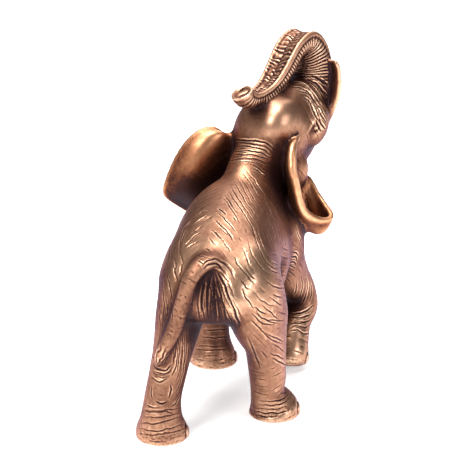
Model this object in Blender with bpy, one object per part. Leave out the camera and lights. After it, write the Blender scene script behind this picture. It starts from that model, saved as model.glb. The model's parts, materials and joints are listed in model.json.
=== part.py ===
# Elephant figurine: a walking elephant cast in one piece, trunk thrown back over the head.
# Frame: origin on the floor under the middle of the figure, elephant faces +Y, its right side is +X, +Z up.
# All tables are in millimetres; MM turns them into metres.
import math

import bmesh
import bpy
import numpy as np
from mathutils import Vector
from mathutils.bvhtree import BVHTree
from mathutils.kdtree import KDTree

MM = 0.001

# moves the modelling tables (laid out from the middle of the shoulders) to the middle of the whole figure
TO_ORIGIN = np.array([7.3, -18.8, 0.0])

# ---------------------------------------------------------------- driving sizes (mm)
VOXEL = 1.5            # cell of the union
TRIANGLES = 9000       # faces left on the solid
BACK_HEIGHT = 127.0    # top of the back above the floor
FOOT_R = 14.0          # half width of a foot at the sole
EAR_THICK = 2.6        # ear flap
JOINT_BLEND = 4.5      # width over which limbs flow into the body

# head carriage
HEAD_YAW = math.radians(22.0)     # turned to the elephant's right
HEAD_PITCH = math.radians(42.0)   # thrown up
HEAD_CENTRE = np.array([4.5, 66.0, 149.0])

RIGHT = np.array([math.cos(HEAD_YAW), -math.sin(HEAD_YAW), 0.0])
AHEAD = np.array([math.sin(HEAD_YAW), math.cos(HEAD_YAW), 0.0])
UP = np.array([0.0, 0.0, 1.0])
FACE = math.cos(HEAD_PITCH) * AHEAD + math.sin(HEAD_PITCH) * UP
CROWN = -math.sin(HEAD_PITCH) * AHEAD + math.cos(HEAD_PITCH) * UP


# ---------------------------------------------------------------- shape helpers
def smooth_rows(rows, n):
    """Catmull-Rom curve through rows of numbers, n samples."""
    k = np.asarray(rows, float)
    m = len(k)
    p = np.vstack([2 * k[0] - k[1], k, 2 * k[-1] - k[-2]])
    t = np.linspace(0, m - 1, n)
    i = np.minimum(t.astype(int), m - 2)
    f = (t - i)[:, None]
    a, b, c, d = p[i], p[i + 1], p[i + 2], p[i + 3]
    return 0.5 * ((2 * b) + (c - a) * f + (2 * a - 5 * b + 4 * c - d) * f**2 + (3 * b - a - 3 * c + d) * f**3)


def in_head(rows):
    """Rows that start with right, forward, up in the head's own frame, to the figure's frame."""
    k = np.asarray(rows, float)
    p = HEAD_CENTRE + k[:, 0:1] * RIGHT + k[:, 1:2] * FACE + k[:, 2:3] * CROWN
    return np.hstack([p, k[:, 3:]])


def in_plane(rows):
    """Rows that start with right, level distance ahead of the head's centre, height."""
    k = np.asarray(rows, float)
    p = HEAD_CENTRE * (1, 1, 0) + k[:, 0:1] * RIGHT + k[:, 1:2] * AHEAD + k[:, 2:3] * UP
    return np.hstack([p, k[:, 3:]])


def tube_rings(rows, n, m, side=(1, 0, 0)):
    """Rings along a curve. Rows: x, y, z, half width along side, half depth across it."""
    s = smooth_rows(rows, n)
    c, a, b = s[:, :3], np.maximum(s[:, 3], 0.1), np.maximum(s[:, 4], 0.1)
    t = np.gradient(c, axis=0)
    t /= np.linalg.norm(t, axis=1)[:, None] + 1e-9
    side = np.broadcast_to(np.asarray(side, float), c.shape)
    r = side - (side * t).sum(1)[:, None] * t
    r /= np.linalg.norm(r, axis=1)[:, None]
    q = np.cross(r, t)
    th = np.linspace(0, 2 * math.pi, m, endpoint=False)
    return (
        c[:, None]
        + r[:, None] * (a[:, None] * np.cos(th))[:, :, None]
        + q[:, None] * (b[:, None] * np.sin(th))[:, :, None]
    )


def mesh_object(name, verts, faces):
    me = bpy.data.meshes.new(name)
    me.from_pydata([tuple((v + TO_ORIGIN) * MM) for v in verts], [], faces)
    bm = bmesh.new()
    bm.from_mesh(me)
    bmesh.ops.recalc_face_normals(bm, faces=bm.faces)
    bm.to_mesh(me)
    bm.free()
    ob = bpy.data.objects.new(name, me)
    bpy.context.scene.collection.objects.link(ob)
    return ob


def loft(name, rings):
    """Skin over rings, closed by a fan at both ends."""
    n, m, _ = rings.shape
    verts = list(rings.reshape(-1, 3)) + [rings[0].mean(0), rings[-1].mean(0)]
    faces = []
    for i in range(n - 1):
        for j in range(m):
            k = (j + 1) % m
            faces.append((i * m + j, i * m + k, (i + 1) * m + k, (i + 1) * m + j))
    for j in range(m):
        k = (j + 1) % m
        faces.append((n * m, j, k))
        faces.append((n * m + 1, (n - 1) * m + j, (n - 1) * m + k))
    return mesh_object(name, verts, faces)


def lump(name, centre, radii, frame=None):
    """An ellipsoid, with its axes along the head's own when frame is in_head."""
    ph = np.linspace(0.02, math.pi - 0.02, 17)
    th = np.linspace(0, 2 * math.pi, 28, endpoint=False)
    p = np.stack(
        [
            np.outer(np.sin(ph), np.cos(th)) * radii[0],
            np.outer(np.sin(ph), np.sin(th)) * radii[1],
            np.outer(np.cos(ph), np.ones(28)) * radii[2],
        ],
        -1,
    ) + np.asarray(centre, float)
    if frame is not None:
        p = frame(p.reshape(-1, 3)).reshape(p.shape)
    return loft(name, p)


def sheet(name, grid, thick):
    """A curved sheet of the given thickness (per row of the grid) over a grid of points."""
    n, m, _ = grid.shape
    du, dv = np.gradient(grid, axis=0), np.gradient(grid, axis=1)
    nn = np.cross(du, dv)
    nn /= np.linalg.norm(nn, axis=2)[:, :, None] + 1e-9
    half = (np.asarray(thick, float) / 2)[:, None, None]
    verts = list((grid + nn * half).reshape(-1, 3)) + list((grid - nn * half).reshape(-1, 3))
    o = n * m
    faces = []
    for i in range(n - 1):
        for j in range(m - 1):
            q = (i * m + j, i * m + j + 1, (i + 1) * m + j + 1, (i + 1) * m + j)
            faces.append(q)
            faces.append(tuple(v + o for v in reversed(q)))
    for i in range(n - 1):
        for j in (0, m - 1):
            faces.append((i * m + j, (i + 1) * m + j, (i + 1) * m + j + o, i * m + j + o))
    for j in range(m - 1):
        for i in (0, n - 1):
            faces.append((i * m + j, i * m + j + 1, i * m + j + 1 + o, i * m + j + o))
    return mesh_object(name, verts, faces)


# ---------------------------------------------------------------- the body
# stations from rump to chest: y, top, underside, half width left, half width right, how far the flanks
# fall away from the spine, fullness of the upper left flank
TORSO = [
    [-69, 88, 80, 5, 5, 0.05, 1.0], [-66.5, 94.5, 74.5, 15, 15, 0.05, 1.0], [-61, 102.5, 70, 24, 24, 0.05, 0.95],
    [-51, 109, 66.8, 30.8, 30, 0.06, 0.9], [-37, 115, 63, 33.7, 33, 0.08, 0.88], [-18, 122, 56.5, 35.9, 31, 0.1, 0.8],
    [4, BACK_HEIGHT, 53, 39.2, 28.5, 0.14, 0.75], [24, 130.5, 53, 38.8, 25, 0.2, 0.8], [41, 132, 56, 31, 22, 0.3, 1.0],
    [54, 128, 62, 25, 20, 0.25, 1.0], [66, 118, 71, 17, 16, 0.1, 1.0], [73, 108, 84, 8, 8, 0.1, 1.0],
]


def torso_rings():
    s = smooth_rows(TORSO, 40)
    th = np.linspace(0, 2 * math.pi, 48, endpoint=False)
    cs, sn = np.cos(th), np.sin(th)
    rings = []
    for y, top, bottom, left, right, roof, full in s:
        mid = bottom + (top - bottom) * 0.475
        power = np.where((sn < 0) & (cs > 0), full, 1.0)
        c, q = np.sign(cs) * np.abs(cs) ** power, np.sign(sn) * np.abs(sn) ** power
        x = np.where(sn < 0, left, right) * q * (1 - roof * c)
        z = mid + np.where(cs > 0, top - mid, mid - bottom) * c
        rings.append(np.stack([x, np.full(48, y), z], 1))
    return np.array(rings)


# legs: x, y, z, half width, half depth, from the joint down to the sole
LEG_ROWS = {
    "hind_left": [[-12, -37, 108, 7, 11], [-13.5, -38, 98, 12.6, 21], [-17, -41, 84, 13.8, 25.5], [-20, -46, 66, 12.6, 22], [-21.8, -53, 50, 10.7, 16.5],
                  [-23.4, -59, 36, 10.3, 13], [-25.2, -62, 24, 10.4, 11.5], [-25.9, -63, 13, 11.8, 12.2],
                  [-26.3, -62, 5, FOOT_R + 0.6, 14], [-26.3, -61.5, 1.5, 15, 14.4], [-26.3, -61.5, -2.5, 14, 13.2]],
    "hind_right": [[13.5, -32, 109, 7, 11], [15.5, -33, 99, 13.6, 21], [18.4, -35, 84, 16.6, 26.4], [21.9, -32, 66, 15.3, 22], [24.2, -27, 50, 12, 16],
                   [24.4, -24, 36, 11, 12.5], [24.5, -21.5, 24, 10.5, 11.3], [23.8, -19, 13, 9.7, 11.6],
                   [25.6, -16, 5, FOOT_R - 0.1, 14.4], [26.6, -15.5, 1.5, 15.2, 15], [26.6, -15.5, -2.5, 14.2, 14]],
    "fore_left": [[-13, 43, 108, 8, 11], [-16, 44, 98, 13, 18], [-18, 44, 84, 15, 21], [-22, 44, 68, 13, 17], [-25, 45, 52, 12, 13],
                  [-27.5, 46, 38, 10.8, 11], [-29, 46.5, 26, 10.3, 10.5], [-29.5, 46.5, 14, 11.6, 11.8],
                  [-28.8, 45.8, 5, FOOT_R + 0.4, 14.2], [-28.8, 45.6, 1.5, 15, 14.6], [-28.8, 45.6, -2.5, 14, 13.6]],
    "fore_right": [[9, 44, 108, 7, 9], [11.3, 46, 99, 13, 16], [13.4, 49, 86, 14.1, 19], [14.6, 56, 68, 12.1, 16], [16.5, 66, 54, 10.8, 13.5],
                   [19.0, 73, 43, 10.8, 11.5], [20.6, 71.5, 33, 11.5, 11], [19.4, 63.5, 25.5, 10.4, 10.5], [19.4, 55, 17, 11, 11.3],
                   [19.4, 49.4, 9.4, 12.3, 12], [19.4, 47.4, 5, 11.4, 11], [19.4, 46.6, 2.6, 8.4, 8.2]],
}


# trunk: right, level distance ahead, height, half width, half depth, from the face to the tip
TRUNK = [
    [0, 24.5, 147, 14.5, 14], [0.5, 30.5, 157, 13.2, 13.4], [0.8, 34.8, 168, 11.9, 12.2], [1.1, 36.3, 180, 11.2, 11.6],
    [1.2, 33.2, 190.4, 10.1, 9.9], [0.6, 27, 196.6, 9.4, 8.9], [0.4, 17.6, 194.5, 9.2, 7.5], [0.3, 11.6, 189, 8.9, 7.3],
    [0.3, 5.6, 182.6, 8.4, 7], [0.2, -1, 177, 7.8, 6.1], [0.2, -8, 173, 7, 5.2], [0, -14.5, 170.9, 6.5, 5],
    [-0.1, -20, 170.1, 6.1, 5], [-0.3, -24.8, 170.6, 6.2, 5.4], [-0.6, -28.8, 172.6, 6.6, 6.3], [-1, -31.2, 176.2, 7, 7.4],
]
TIP_LIP = 0.8          # how far the lower lip of the tip stands out
GUTTER = 0.3           # depth of the channel along the trunk's outer face, over the half depth


def trunk_axis(n):
    """Centre, half width, half depth, across, and inward directions along the trunk."""
    s = smooth_rows(in_plane(TRUNK), n)
    c = s[:, :3]
    t = np.gradient(c, axis=0)
    t /= np.linalg.norm(t, axis=1)[:, None]
    r = RIGHT - (t @ RIGHT)[:, None] * t
    r /= np.linalg.norm(r, axis=1)[:, None]
    return c, s[:, 3], s[:, 4], r, np.cross(r, t), t


def trunk_rings(n, m):
    """A D-shaped tube: flat and channelled on its outer face, rounded towards the inside of the curl."""
    c, a, b, r, q, t = trunk_axis(n)
    th = np.linspace(0, 2 * math.pi, m, endpoint=False)
    cs, sn = np.cos(th), np.sin(th)
    rings = []
    for i in range(n):
        k = i / (n - 1)
        # plain and round at the face and at the tip, D-shaped between
        d = min(1.0, max(0.0, (k - 0.08) / 0.14)) * min(1.0, max(0.0, (0.9 - k) / 0.12))
        pw = 1 - 0.42 * d
        x = np.where(sn < 0, np.sign(cs) * np.abs(cs) ** pw, cs * (1 - 0.22 * d * sn))
        y = np.where(sn < 0, -np.abs(sn) ** pw, sn)
        y = np.where(sn < 0, y * (1 - GUTTER * d * np.exp(-((x / 0.62) ** 4))), y)
        lip = TIP_LIP * max(0.0, (k - 0.93) / 0.07) * y
        rings.append(c[i] + np.outer(x * a[i], r[i]) + np.outer(y * b[i], q[i]) + np.outer(lip, t[i]))
    return np.array(rings)


def head_parts():
    parts = [
        lump("cranium", (0, -2, 0), (23, 24, 23), in_head),
        lump("dome_right", (9, -2, 8), (13, 18, 16), in_head),
        lump("dome_left", (-11.5, -4, 2.2), (13, 16.3, 13.2), in_head),
        lump("cheek_right", (14.2, 12.5, -11), (10.8, 16.3, 13.3), in_head),
        lump("cheek_left", (-13.5, 12.5, -11), (10.8, 16.3, 13.3), in_head),
        loft("brow", tube_rings(in_head([[0, 2, 2, 20, 18], [0, 16, -2, 18, 18], [0, 27, -8, 15.5, 15], [0, 33, -12, 13, 12]]), 12, 24, RIGHT)),
        loft("jaw", tube_rings(in_head([[0, -6, -19, 16.8, 13], [0, 8, -25.5, 13.6, 9.4], [0, 22, -31.5, 8.6, 5.8], [0, 31, -32.5, 5.6, 4], [0, 38, -31, 3, 2.6]]), 14, 20, RIGHT)),
        lump("throat", (11.8, 64, 124.5), (14.8, 12, 16)),
        loft("neck", tube_rings([[-2, 28, 104, 22, 28], [-3, 42, 113, 18, 29], [-2, 53, 124, 17.5, 25], [3, 62, 138, 19, 21]], 14, 28)),
    ]
    parts.append(loft("trunk", trunk_rings(90, 36)))
    # the narrow gap between the right tusk and the trunk is closed at the back
    parts.append(loft("web", tube_rings(in_plane([
        [10.5, 35, 150, 5, 2.4], [13, 38, 160, 5, 2], [14.2, 39.2, 171, 4.8, 1.8], [14.6, 38.8, 179, 4.2, 1.6],
        [14.8, 37.8, 184.4, 3.4, 1.4], [15, 37, 186.8, 1.4, 1]]), 20, 12, RIGHT)))
    for s, side in ((1, "right"), (-1, "left")):
        parts.append(loft("tusk_" + side, tube_rings(in_plane([
            [s * 12, 32, 144, 3.4, 3.4], [s * 14.2, 36, 150, 3, 3], [s * 16.8, 37.4, 156.5, 2.6, 2.6], [s * 19.3, 38.7, 164, 2.3, 2.3],
            [s * 20, 39, 171, 2.1, 2.1], [s * 20.1, 38.5, 177.5, 2, 2], [s * 19.6, 37.5, 183, 1.8, 1.8], [s * 18.3, 36.2, 186.6, 1.3, 1.3]]), 30, 14, RIGHT)))
        parts.append(loft("sheath_" + side, tube_rings(in_head([
            [s * 11, 16, -13, 8, 8], [s * 12.5, 24, -17, 6.5, 6.5], [s * 14, 30, -17.5, 4.6, 4.6]]), 8, 16, RIGHT)))
    return parts


# ears: root line, outer rim, and how far the middle of the flap cups away from the chord between them
EARS = {
    "ear_right": dict(
        root=[(19, 66, 146), (19.5, 71, 130), (20, 73, 114)],
        rim=[(24.5, 50.5, 147), (24, 41.5, 147), (24, 35, 144.5), (24.5, 31.5, 139), (25.5, 29.5, 133), (27, 30, 126.5),
             (28, 32, 119.5), (29, 35.5, 112), (31, 41, 105), (34.5, 47, 100.5), (39, 52, 98), (42.5, 55, 98.5), (42.5, 58.5, 100.5),
             (39, 62.5, 103), (35.2, 67, 106), (31.5, 69.5, 110), (28.5, 71.5, 114.5), (25.5, 73, 119.5)],
        cup=[(-1, 0, 0), (-3, 0, 0), (-5, 0, -5), (-5, 2, -16), (-1, 1, -23.3), (3, -3, -19.3), (1.5, -4, -9.5), (0, -2, -2)]),
    "ear_left": dict(
        root=[(-15, 66, 145), (-14, 69, 130), (-13, 71, 112)],
        rim=[(-20.5, 65, 138), (-25.6, 61, 142), (-31.6, 55, 148.2), (-38.5, 50, 146.8), (-44.2, 47, 141.8), (-49.2, 45, 134.6),
             (-53.6, 43, 125.4), (-57, 42, 116), (-58.8, 43, 109.5), (-57.6, 46, 105.4), (-53.5, 50, 100.8), (-48, 54, 95.8),
             (-40, 58, 91), (-31, 62, 92), (-24, 65, 97), (-18, 68, 106)],
        cup=[(0, -3, 0), (0, -8, 1), (1, -11, 0), (1, -11.5, -2), (1, -9, -4), (1, -4, -4), (0, 0, -2)]),
}


def ear_grid(root, rim, cup, across=16, along=44):
    v = np.linspace(0, 1, along)
    root, rim, cup = smooth_rows(root, along), smooth_rows(rim, along), smooth_rows(cup, along)
    rows = []
    for u in np.linspace(0, 1, across):
        rows.append(root * (1 - u) + rim * u + cup * math.sin(math.pi * u**1.15))
    return np.array(rows)


def ear(name, root, rim, cup):
    grid = ear_grid(root, rim, cup)
    us = np.linspace(0, 1, len(grid))
    thick = EAR_THICK * (1 + 1.0 * np.exp(-us / 0.12) + 0.35 * np.exp(-(1 - us) / 0.08))
    return sheet(name, grid, thick)


# the tail runs on from the crest of the rump and lies against the left thigh
TAIL = [[2, -44, 103, 8, 5], [1, -54, 104.5, 8, 5], [-0.9, -62, 104, 7.4, 5], [-3.4, -67.2, 101, 6.3, 5],
        [-6.4, -69.4, 95.2, 5.4, 4.6], [-9.4, -70, 86.6, 4.9, 4.3], [-12.8, -70, 76, 4.7, 4.2], [-16.4, -70.4, 66.4, 4.5, 4],
        [-20.3, -71.5, 58.4, 4.2, 3.8], [-23.6, -71.8, 51.4, 3.2, 3], [-25.9, -71.5, 46.4, 1.2, 1.2]]

# muscle and bone under the skin, and hollows between them: x, y, z, radius, height
ANATOMY = [
    # hip bones, haunches, hollows of the flanks, thighs
    (22, -36, 105, 10, 1.0), (29, -38, 84, 13, 0.8), (30, -6, 88, 12, -1.4), (34, -22, 66, 8, 0.8), (20, -60, 84, 9, 0.8),
    (-24, -36, 104, 10, 0.7), (-33, -40, 84, 13, 0.1), (-34, -8, 90, 13, -1.2), (-31, -40, 66, 8, 0.8), (-18, -62, 82, 8, 0.5),
    # barrel and shoulders
    (27, 15, 93, 10, 0.5), (30.5, 0, 82, 7.5, -3.2), (31, -9, 74, 6, -1.2), (-36, 10, 84, 16, 0.6), (25, 40, 96, 10, 1.0), (-26, 42, 96, 12, 1.0), (22, 24, 112, 8, -1.0),
    (-24, 26, 112, 8, -1.0),
    # spine ridge between the hips
    (0, -46, 113, 7, 0.9), (0, -24, 120, 8, 0.5),
    # hollow under the root of the tail, and the cleft of the buttocks below it
    (5, -67, 96, 6.5, -3.8), (6, -68, 86, 7, -4), (7, -66, 77, 7, -3.0),
    # knees, hocks and elbows
    (22, 82, 44, 6, 0.8), (-29, 58, 38, 6, 0.8), (25, -12, 36, 6, 0.6), (-24, -50, 36, 6, 0.6), (-26, -76, 22, 5, 0.6),
    (24, -33, 26, 5, 0.6),
]


def swell(points, normals, rows):
    """Points (mm, in the figure's own place) pushed along their normals by rounded swellings and hollows."""
    push = np.zeros(len(points))
    for x, y, z, r, h in rows:
        push += h * np.exp(-((points - TO_ORIGIN - (x, y, z)) ** 2).sum(1) / (r * r))
    return points + normals * push[:, None]


def build_shapes():
    shapes = [loft("torso", torso_rings())]
    for name, rows in LEG_ROWS.items():
        shapes.append(loft(name, tube_rings(rows, 40, 24)))
    shapes += head_parts()
    for name, e in EARS.items():
        shapes.append(ear(name, **e))
    shapes.append(loft("tail", tube_rings(TAIL, 40, 14)))
    return shapes


def evaluated_mesh(ob):
    bpy.context.view_layer.update()
    dg = bpy.context.evaluated_depsgraph_get()
    return bpy.data.meshes.new_from_object(ob.evaluated_get(dg))


def coords(me):
    co = np.zeros(len(me.vertices) * 3, np.float32)
    me.vertices.foreach_get("co", co)
    return co.reshape(-1, 3).astype(float)


def union(shapes, voxel):
    """One closed skin around all the shapes."""
    verts, faces = [], []
    for ob in shapes:
        o = len(verts)
        verts += [v.co.copy() for v in ob.data.vertices]
        faces += [tuple(i + o for i in p.vertices) for p in ob.data.polygons]
    me = bpy.data.meshes.new("skin")
    me.from_pydata(verts, [], faces)
    ob = bpy.data.objects.new("skin", me)
    bpy.context.scene.collection.objects.link(ob)
    mod = ob.modifiers.new("union", "REMESH")
    mod.mode = "VOXEL"
    mod.voxel_size = voxel * MM
    me2 = evaluated_mesh(ob)
    bpy.data.objects.remove(ob)
    return me2


def seam_weights(points, shapes, width):
    """1 where two shapes meet, falling to 0 at about `width` mm from the line where they do."""
    near = np.full((len(points), 2), 1e9)
    for ob in shapes:
        bm = bmesh.new()
        bm.from_mesh(ob.data)
        tree = BVHTree.FromBMesh(bm)
        bm.free()
        lo = np.array([v.co for v in ob.data.vertices]).min(0) - 3 * width * MM
        hi = np.array([v.co for v in ob.data.vertices]).max(0) + 3 * width * MM
        inside = np.where(((points > lo) & (points < hi)).all(1))[0]
        for i in inside:
            hit = tree.find_nearest(Vector(points[i]), 3 * width * MM)
            if hit[0] is not None:
                d = hit[3] / MM
                if d < near[i, 0]:
                    near[i, 1] = near[i, 0]
                    near[i, 0] = d
                elif d < near[i, 1]:
                    near[i, 1] = d
    return np.exp(-((near[:, 1] / width) ** 2))


def relaxed(me, weights, rounds):
    """The mesh after a Smooth modifier, held by a vertex group."""
    ob = bpy.data.objects.new("relax", me)
    bpy.context.scene.collection.objects.link(ob)
    group = ob.vertex_groups.new(name="seam")
    level = np.round(np.clip(weights, 0, 1) * 20) / 20
    for w in np.unique(level):
        if w > 0:
            group.add([int(i) for i in np.where(level == w)[0]], float(w), "REPLACE")
    mod = ob.modifiers.new("relax", "SMOOTH")
    mod.factor = 0.5
    mod.iterations = rounds
    mod.vertex_group = "seam"
    out = evaluated_mesh(ob)
    bpy.data.objects.remove(ob)
    return out


def cutter(name, centre, size):
    """A hidden box that takes material away."""
    bm = bmesh.new()
    bmesh.ops.create_cube(bm, size=1.0)
    for v in bm.verts:
        v.co = Vector([(centre[i] + v.co[i] * size[i]) * MM for i in range(3)])
    me = bpy.data.meshes.new(name)
    bm.to_mesh(me)
    bm.free()
    ob = bpy.data.objects.new(name, me)
    bpy.context.scene.collection.objects.link(ob)
    ob.hide_render = True
    ob.display_type = "WIRE"
    return ob


def bronze(name, colour, rough):
    mat = bpy.data.materials.new(name)
    mat.use_nodes = True
    bsdf = mat.node_tree.nodes["Principled BSDF"]
    bsdf.inputs["Base Color"].default_value = (*colour, 1)
    bsdf.inputs["Roughness"].default_value = rough
    bsdf.inputs["Metallic"].default_value = 1.0
    return mat


def main():
    for ob in list(bpy.data.objects):
        bpy.data.objects.remove(ob)
    shapes = build_shapes()
    skin = union(shapes, VOXEL)
    w = seam_weights(coords(skin), shapes, JOINT_BLEND)
    skin = relaxed(skin, np.maximum(w, 0.05), 24)
    nn = np.zeros(len(skin.vertices) * 3, np.float32)
    skin.vertex_normals.foreach_get("vector", nn)
    co = swell(coords(skin) / MM, nn.reshape(-1, 3).astype(float), ANATOMY)
    skin.vertices.foreach_set("co", (co * MM).astype(np.float32).ravel())
    for ob in shapes:
        bpy.data.objects.remove(ob)
    figure = bpy.data.objects.new("elephant", skin)
    skin.name = "elephant"
    bpy.context.scene.collection.objects.link(figure)
    thin = figure.modifiers.new("thin_out", "DECIMATE")
    thin.ratio = min(1.0, TRIANGLES / (2 * len(skin.polygons)))
    thin.use_collapse_triangulate = True
    # soles cut flat at the floor
    floor = cutter("floor_cut", (0, 0, -10), (300, 300, 20))
    flat = figure.modifiers.new("soles", "BOOLEAN")
    flat.operation = "DIFFERENCE"
    flat.solver = "EXACT"
    flat.object = floor
    figure.data.materials.append(bronze("antique_bronze", (0.42, 0.2, 0.1), 0.36))
    return figure


main()
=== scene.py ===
import json
import math

import bmesh
import bpy
import numpy as np
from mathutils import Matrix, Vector, noise
from mathutils.bvhtree import BVHTree
from mathutils.kdtree import KDTree

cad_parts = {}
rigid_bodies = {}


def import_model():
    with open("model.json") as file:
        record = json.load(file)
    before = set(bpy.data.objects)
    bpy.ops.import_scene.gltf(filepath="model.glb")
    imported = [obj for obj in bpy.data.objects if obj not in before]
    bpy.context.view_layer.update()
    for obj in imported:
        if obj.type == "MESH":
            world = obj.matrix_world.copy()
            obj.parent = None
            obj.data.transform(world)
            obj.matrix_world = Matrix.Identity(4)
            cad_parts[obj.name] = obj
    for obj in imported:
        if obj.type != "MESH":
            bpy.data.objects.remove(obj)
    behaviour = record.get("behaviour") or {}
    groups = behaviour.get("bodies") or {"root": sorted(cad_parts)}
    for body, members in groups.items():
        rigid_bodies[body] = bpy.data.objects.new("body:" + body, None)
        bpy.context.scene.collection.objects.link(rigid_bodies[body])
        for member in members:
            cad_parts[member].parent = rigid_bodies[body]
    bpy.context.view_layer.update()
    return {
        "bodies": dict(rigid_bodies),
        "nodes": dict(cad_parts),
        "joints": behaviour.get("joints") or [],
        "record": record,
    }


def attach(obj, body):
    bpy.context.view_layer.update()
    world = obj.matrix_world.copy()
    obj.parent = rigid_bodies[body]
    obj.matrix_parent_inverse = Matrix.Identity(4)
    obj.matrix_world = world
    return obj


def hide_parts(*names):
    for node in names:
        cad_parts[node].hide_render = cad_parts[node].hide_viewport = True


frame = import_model()

# ================================================================ sizes and shapes, as in the solid
MM = 0.001

# moves the modelling tables (laid out from the middle of the shoulders) to the middle of the whole figure
TO_ORIGIN = np.array([7.3, -18.8, 0.0])

# ---------------------------------------------------------------- driving sizes (mm)
BACK_HEIGHT = 127.0    # top of the back above the floor
FOOT_R = 14.0          # half width of a foot at the sole
EAR_THICK = 2.6        # ear flap
JOINT_BLEND = 4.5      # width over which limbs flow into the body

# head carriage
HEAD_YAW = math.radians(22.0)     # turned to the elephant's right
HEAD_PITCH = math.radians(42.0)   # thrown up
HEAD_CENTRE = np.array([4.5, 66.0, 149.0])

RIGHT = np.array([math.cos(HEAD_YAW), -math.sin(HEAD_YAW), 0.0])
AHEAD = np.array([math.sin(HEAD_YAW), math.cos(HEAD_YAW), 0.0])
UP = np.array([0.0, 0.0, 1.0])
FACE = math.cos(HEAD_PITCH) * AHEAD + math.sin(HEAD_PITCH) * UP
CROWN = -math.sin(HEAD_PITCH) * AHEAD + math.cos(HEAD_PITCH) * UP


# ---------------------------------------------------------------- shape helpers
def smooth_rows(rows, n):
    """Catmull-Rom curve through rows of numbers, n samples."""
    k = np.asarray(rows, float)
    m = len(k)
    p = np.vstack([2 * k[0] - k[1], k, 2 * k[-1] - k[-2]])
    t = np.linspace(0, m - 1, n)
    i = np.minimum(t.astype(int), m - 2)
    f = (t - i)[:, None]
    a, b, c, d = p[i], p[i + 1], p[i + 2], p[i + 3]
    return 0.5 * ((2 * b) + (c - a) * f + (2 * a - 5 * b + 4 * c - d) * f**2 + (3 * b - a - 3 * c + d) * f**3)


def in_head(rows):
    """Rows that start with right, forward, up in the head's own frame, to the figure's frame."""
    k = np.asarray(rows, float)
    p = HEAD_CENTRE + k[:, 0:1] * RIGHT + k[:, 1:2] * FACE + k[:, 2:3] * CROWN
    return np.hstack([p, k[:, 3:]])


def in_plane(rows):
    """Rows that start with right, level distance ahead of the head's centre, height."""
    k = np.asarray(rows, float)
    p = HEAD_CENTRE * (1, 1, 0) + k[:, 0:1] * RIGHT + k[:, 1:2] * AHEAD + k[:, 2:3] * UP
    return np.hstack([p, k[:, 3:]])


def tube_rings(rows, n, m, side=(1, 0, 0)):
    """Rings along a curve. Rows: x, y, z, half width along side, half depth across it."""
    s = smooth_rows(rows, n)
    c, a, b = s[:, :3], np.maximum(s[:, 3], 0.1), np.maximum(s[:, 4], 0.1)
    t = np.gradient(c, axis=0)
    t /= np.linalg.norm(t, axis=1)[:, None] + 1e-9
    side = np.broadcast_to(np.asarray(side, float), c.shape)
    r = side - (side * t).sum(1)[:, None] * t
    r /= np.linalg.norm(r, axis=1)[:, None]
    q = np.cross(r, t)
    th = np.linspace(0, 2 * math.pi, m, endpoint=False)
    return (
        c[:, None]
        + r[:, None] * (a[:, None] * np.cos(th))[:, :, None]
        + q[:, None] * (b[:, None] * np.sin(th))[:, :, None]
    )


def mesh_object(name, verts, faces):
    me = bpy.data.meshes.new(name)
    me.from_pydata([tuple((v + TO_ORIGIN) * MM) for v in verts], [], faces)
    bm = bmesh.new()
    bm.from_mesh(me)
    bmesh.ops.recalc_face_normals(bm, faces=bm.faces)
    bm.to_mesh(me)
    bm.free()
    ob = bpy.data.objects.new(name, me)
    bpy.context.scene.collection.objects.link(ob)
    return ob


def loft(name, rings):
    """Skin over rings, closed by a fan at both ends."""
    n, m, _ = rings.shape
    verts = list(rings.reshape(-1, 3)) + [rings[0].mean(0), rings[-1].mean(0)]
    faces = []
    for i in range(n - 1):
        for j in range(m):
            k = (j + 1) % m
            faces.append((i * m + j, i * m + k, (i + 1) * m + k, (i + 1) * m + j))
    for j in range(m):
        k = (j + 1) % m
        faces.append((n * m, j, k))
        faces.append((n * m + 1, (n - 1) * m + j, (n - 1) * m + k))
    return mesh_object(name, verts, faces)


def lump(name, centre, radii, frame=None):
    """An ellipsoid, with its axes along the head's own when frame is in_head."""
    ph = np.linspace(0.02, math.pi - 0.02, 17)
    th = np.linspace(0, 2 * math.pi, 28, endpoint=False)
    p = np.stack(
        [
            np.outer(np.sin(ph), np.cos(th)) * radii[0],
            np.outer(np.sin(ph), np.sin(th)) * radii[1],
            np.outer(np.cos(ph), np.ones(28)) * radii[2],
        ],
        -1,
    ) + np.asarray(centre, float)
    if frame is not None:
        p = frame(p.reshape(-1, 3)).reshape(p.shape)
    return loft(name, p)


def sheet(name, grid, thick):
    """A curved sheet of the given thickness (per row of the grid) over a grid of points."""
    n, m, _ = grid.shape
    du, dv = np.gradient(grid, axis=0), np.gradient(grid, axis=1)
    nn = np.cross(du, dv)
    nn /= np.linalg.norm(nn, axis=2)[:, :, None] + 1e-9
    half = (np.asarray(thick, float) / 2)[:, None, None]
    verts = list((grid + nn * half).reshape(-1, 3)) + list((grid - nn * half).reshape(-1, 3))
    o = n * m
    faces = []
    for i in range(n - 1):
        for j in range(m - 1):
            q = (i * m + j, i * m + j + 1, (i + 1) * m + j + 1, (i + 1) * m + j)
            faces.append(q)
            faces.append(tuple(v + o for v in reversed(q)))
    for i in range(n - 1):
        for j in (0, m - 1):
            faces.append((i * m + j, (i + 1) * m + j, (i + 1) * m + j + o, i * m + j + o))
    for j in range(m - 1):
        for i in (0, n - 1):
            faces.append((i * m + j, i * m + j + 1, i * m + j + 1 + o, i * m + j + o))
    return mesh_object(name, verts, faces)


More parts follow.
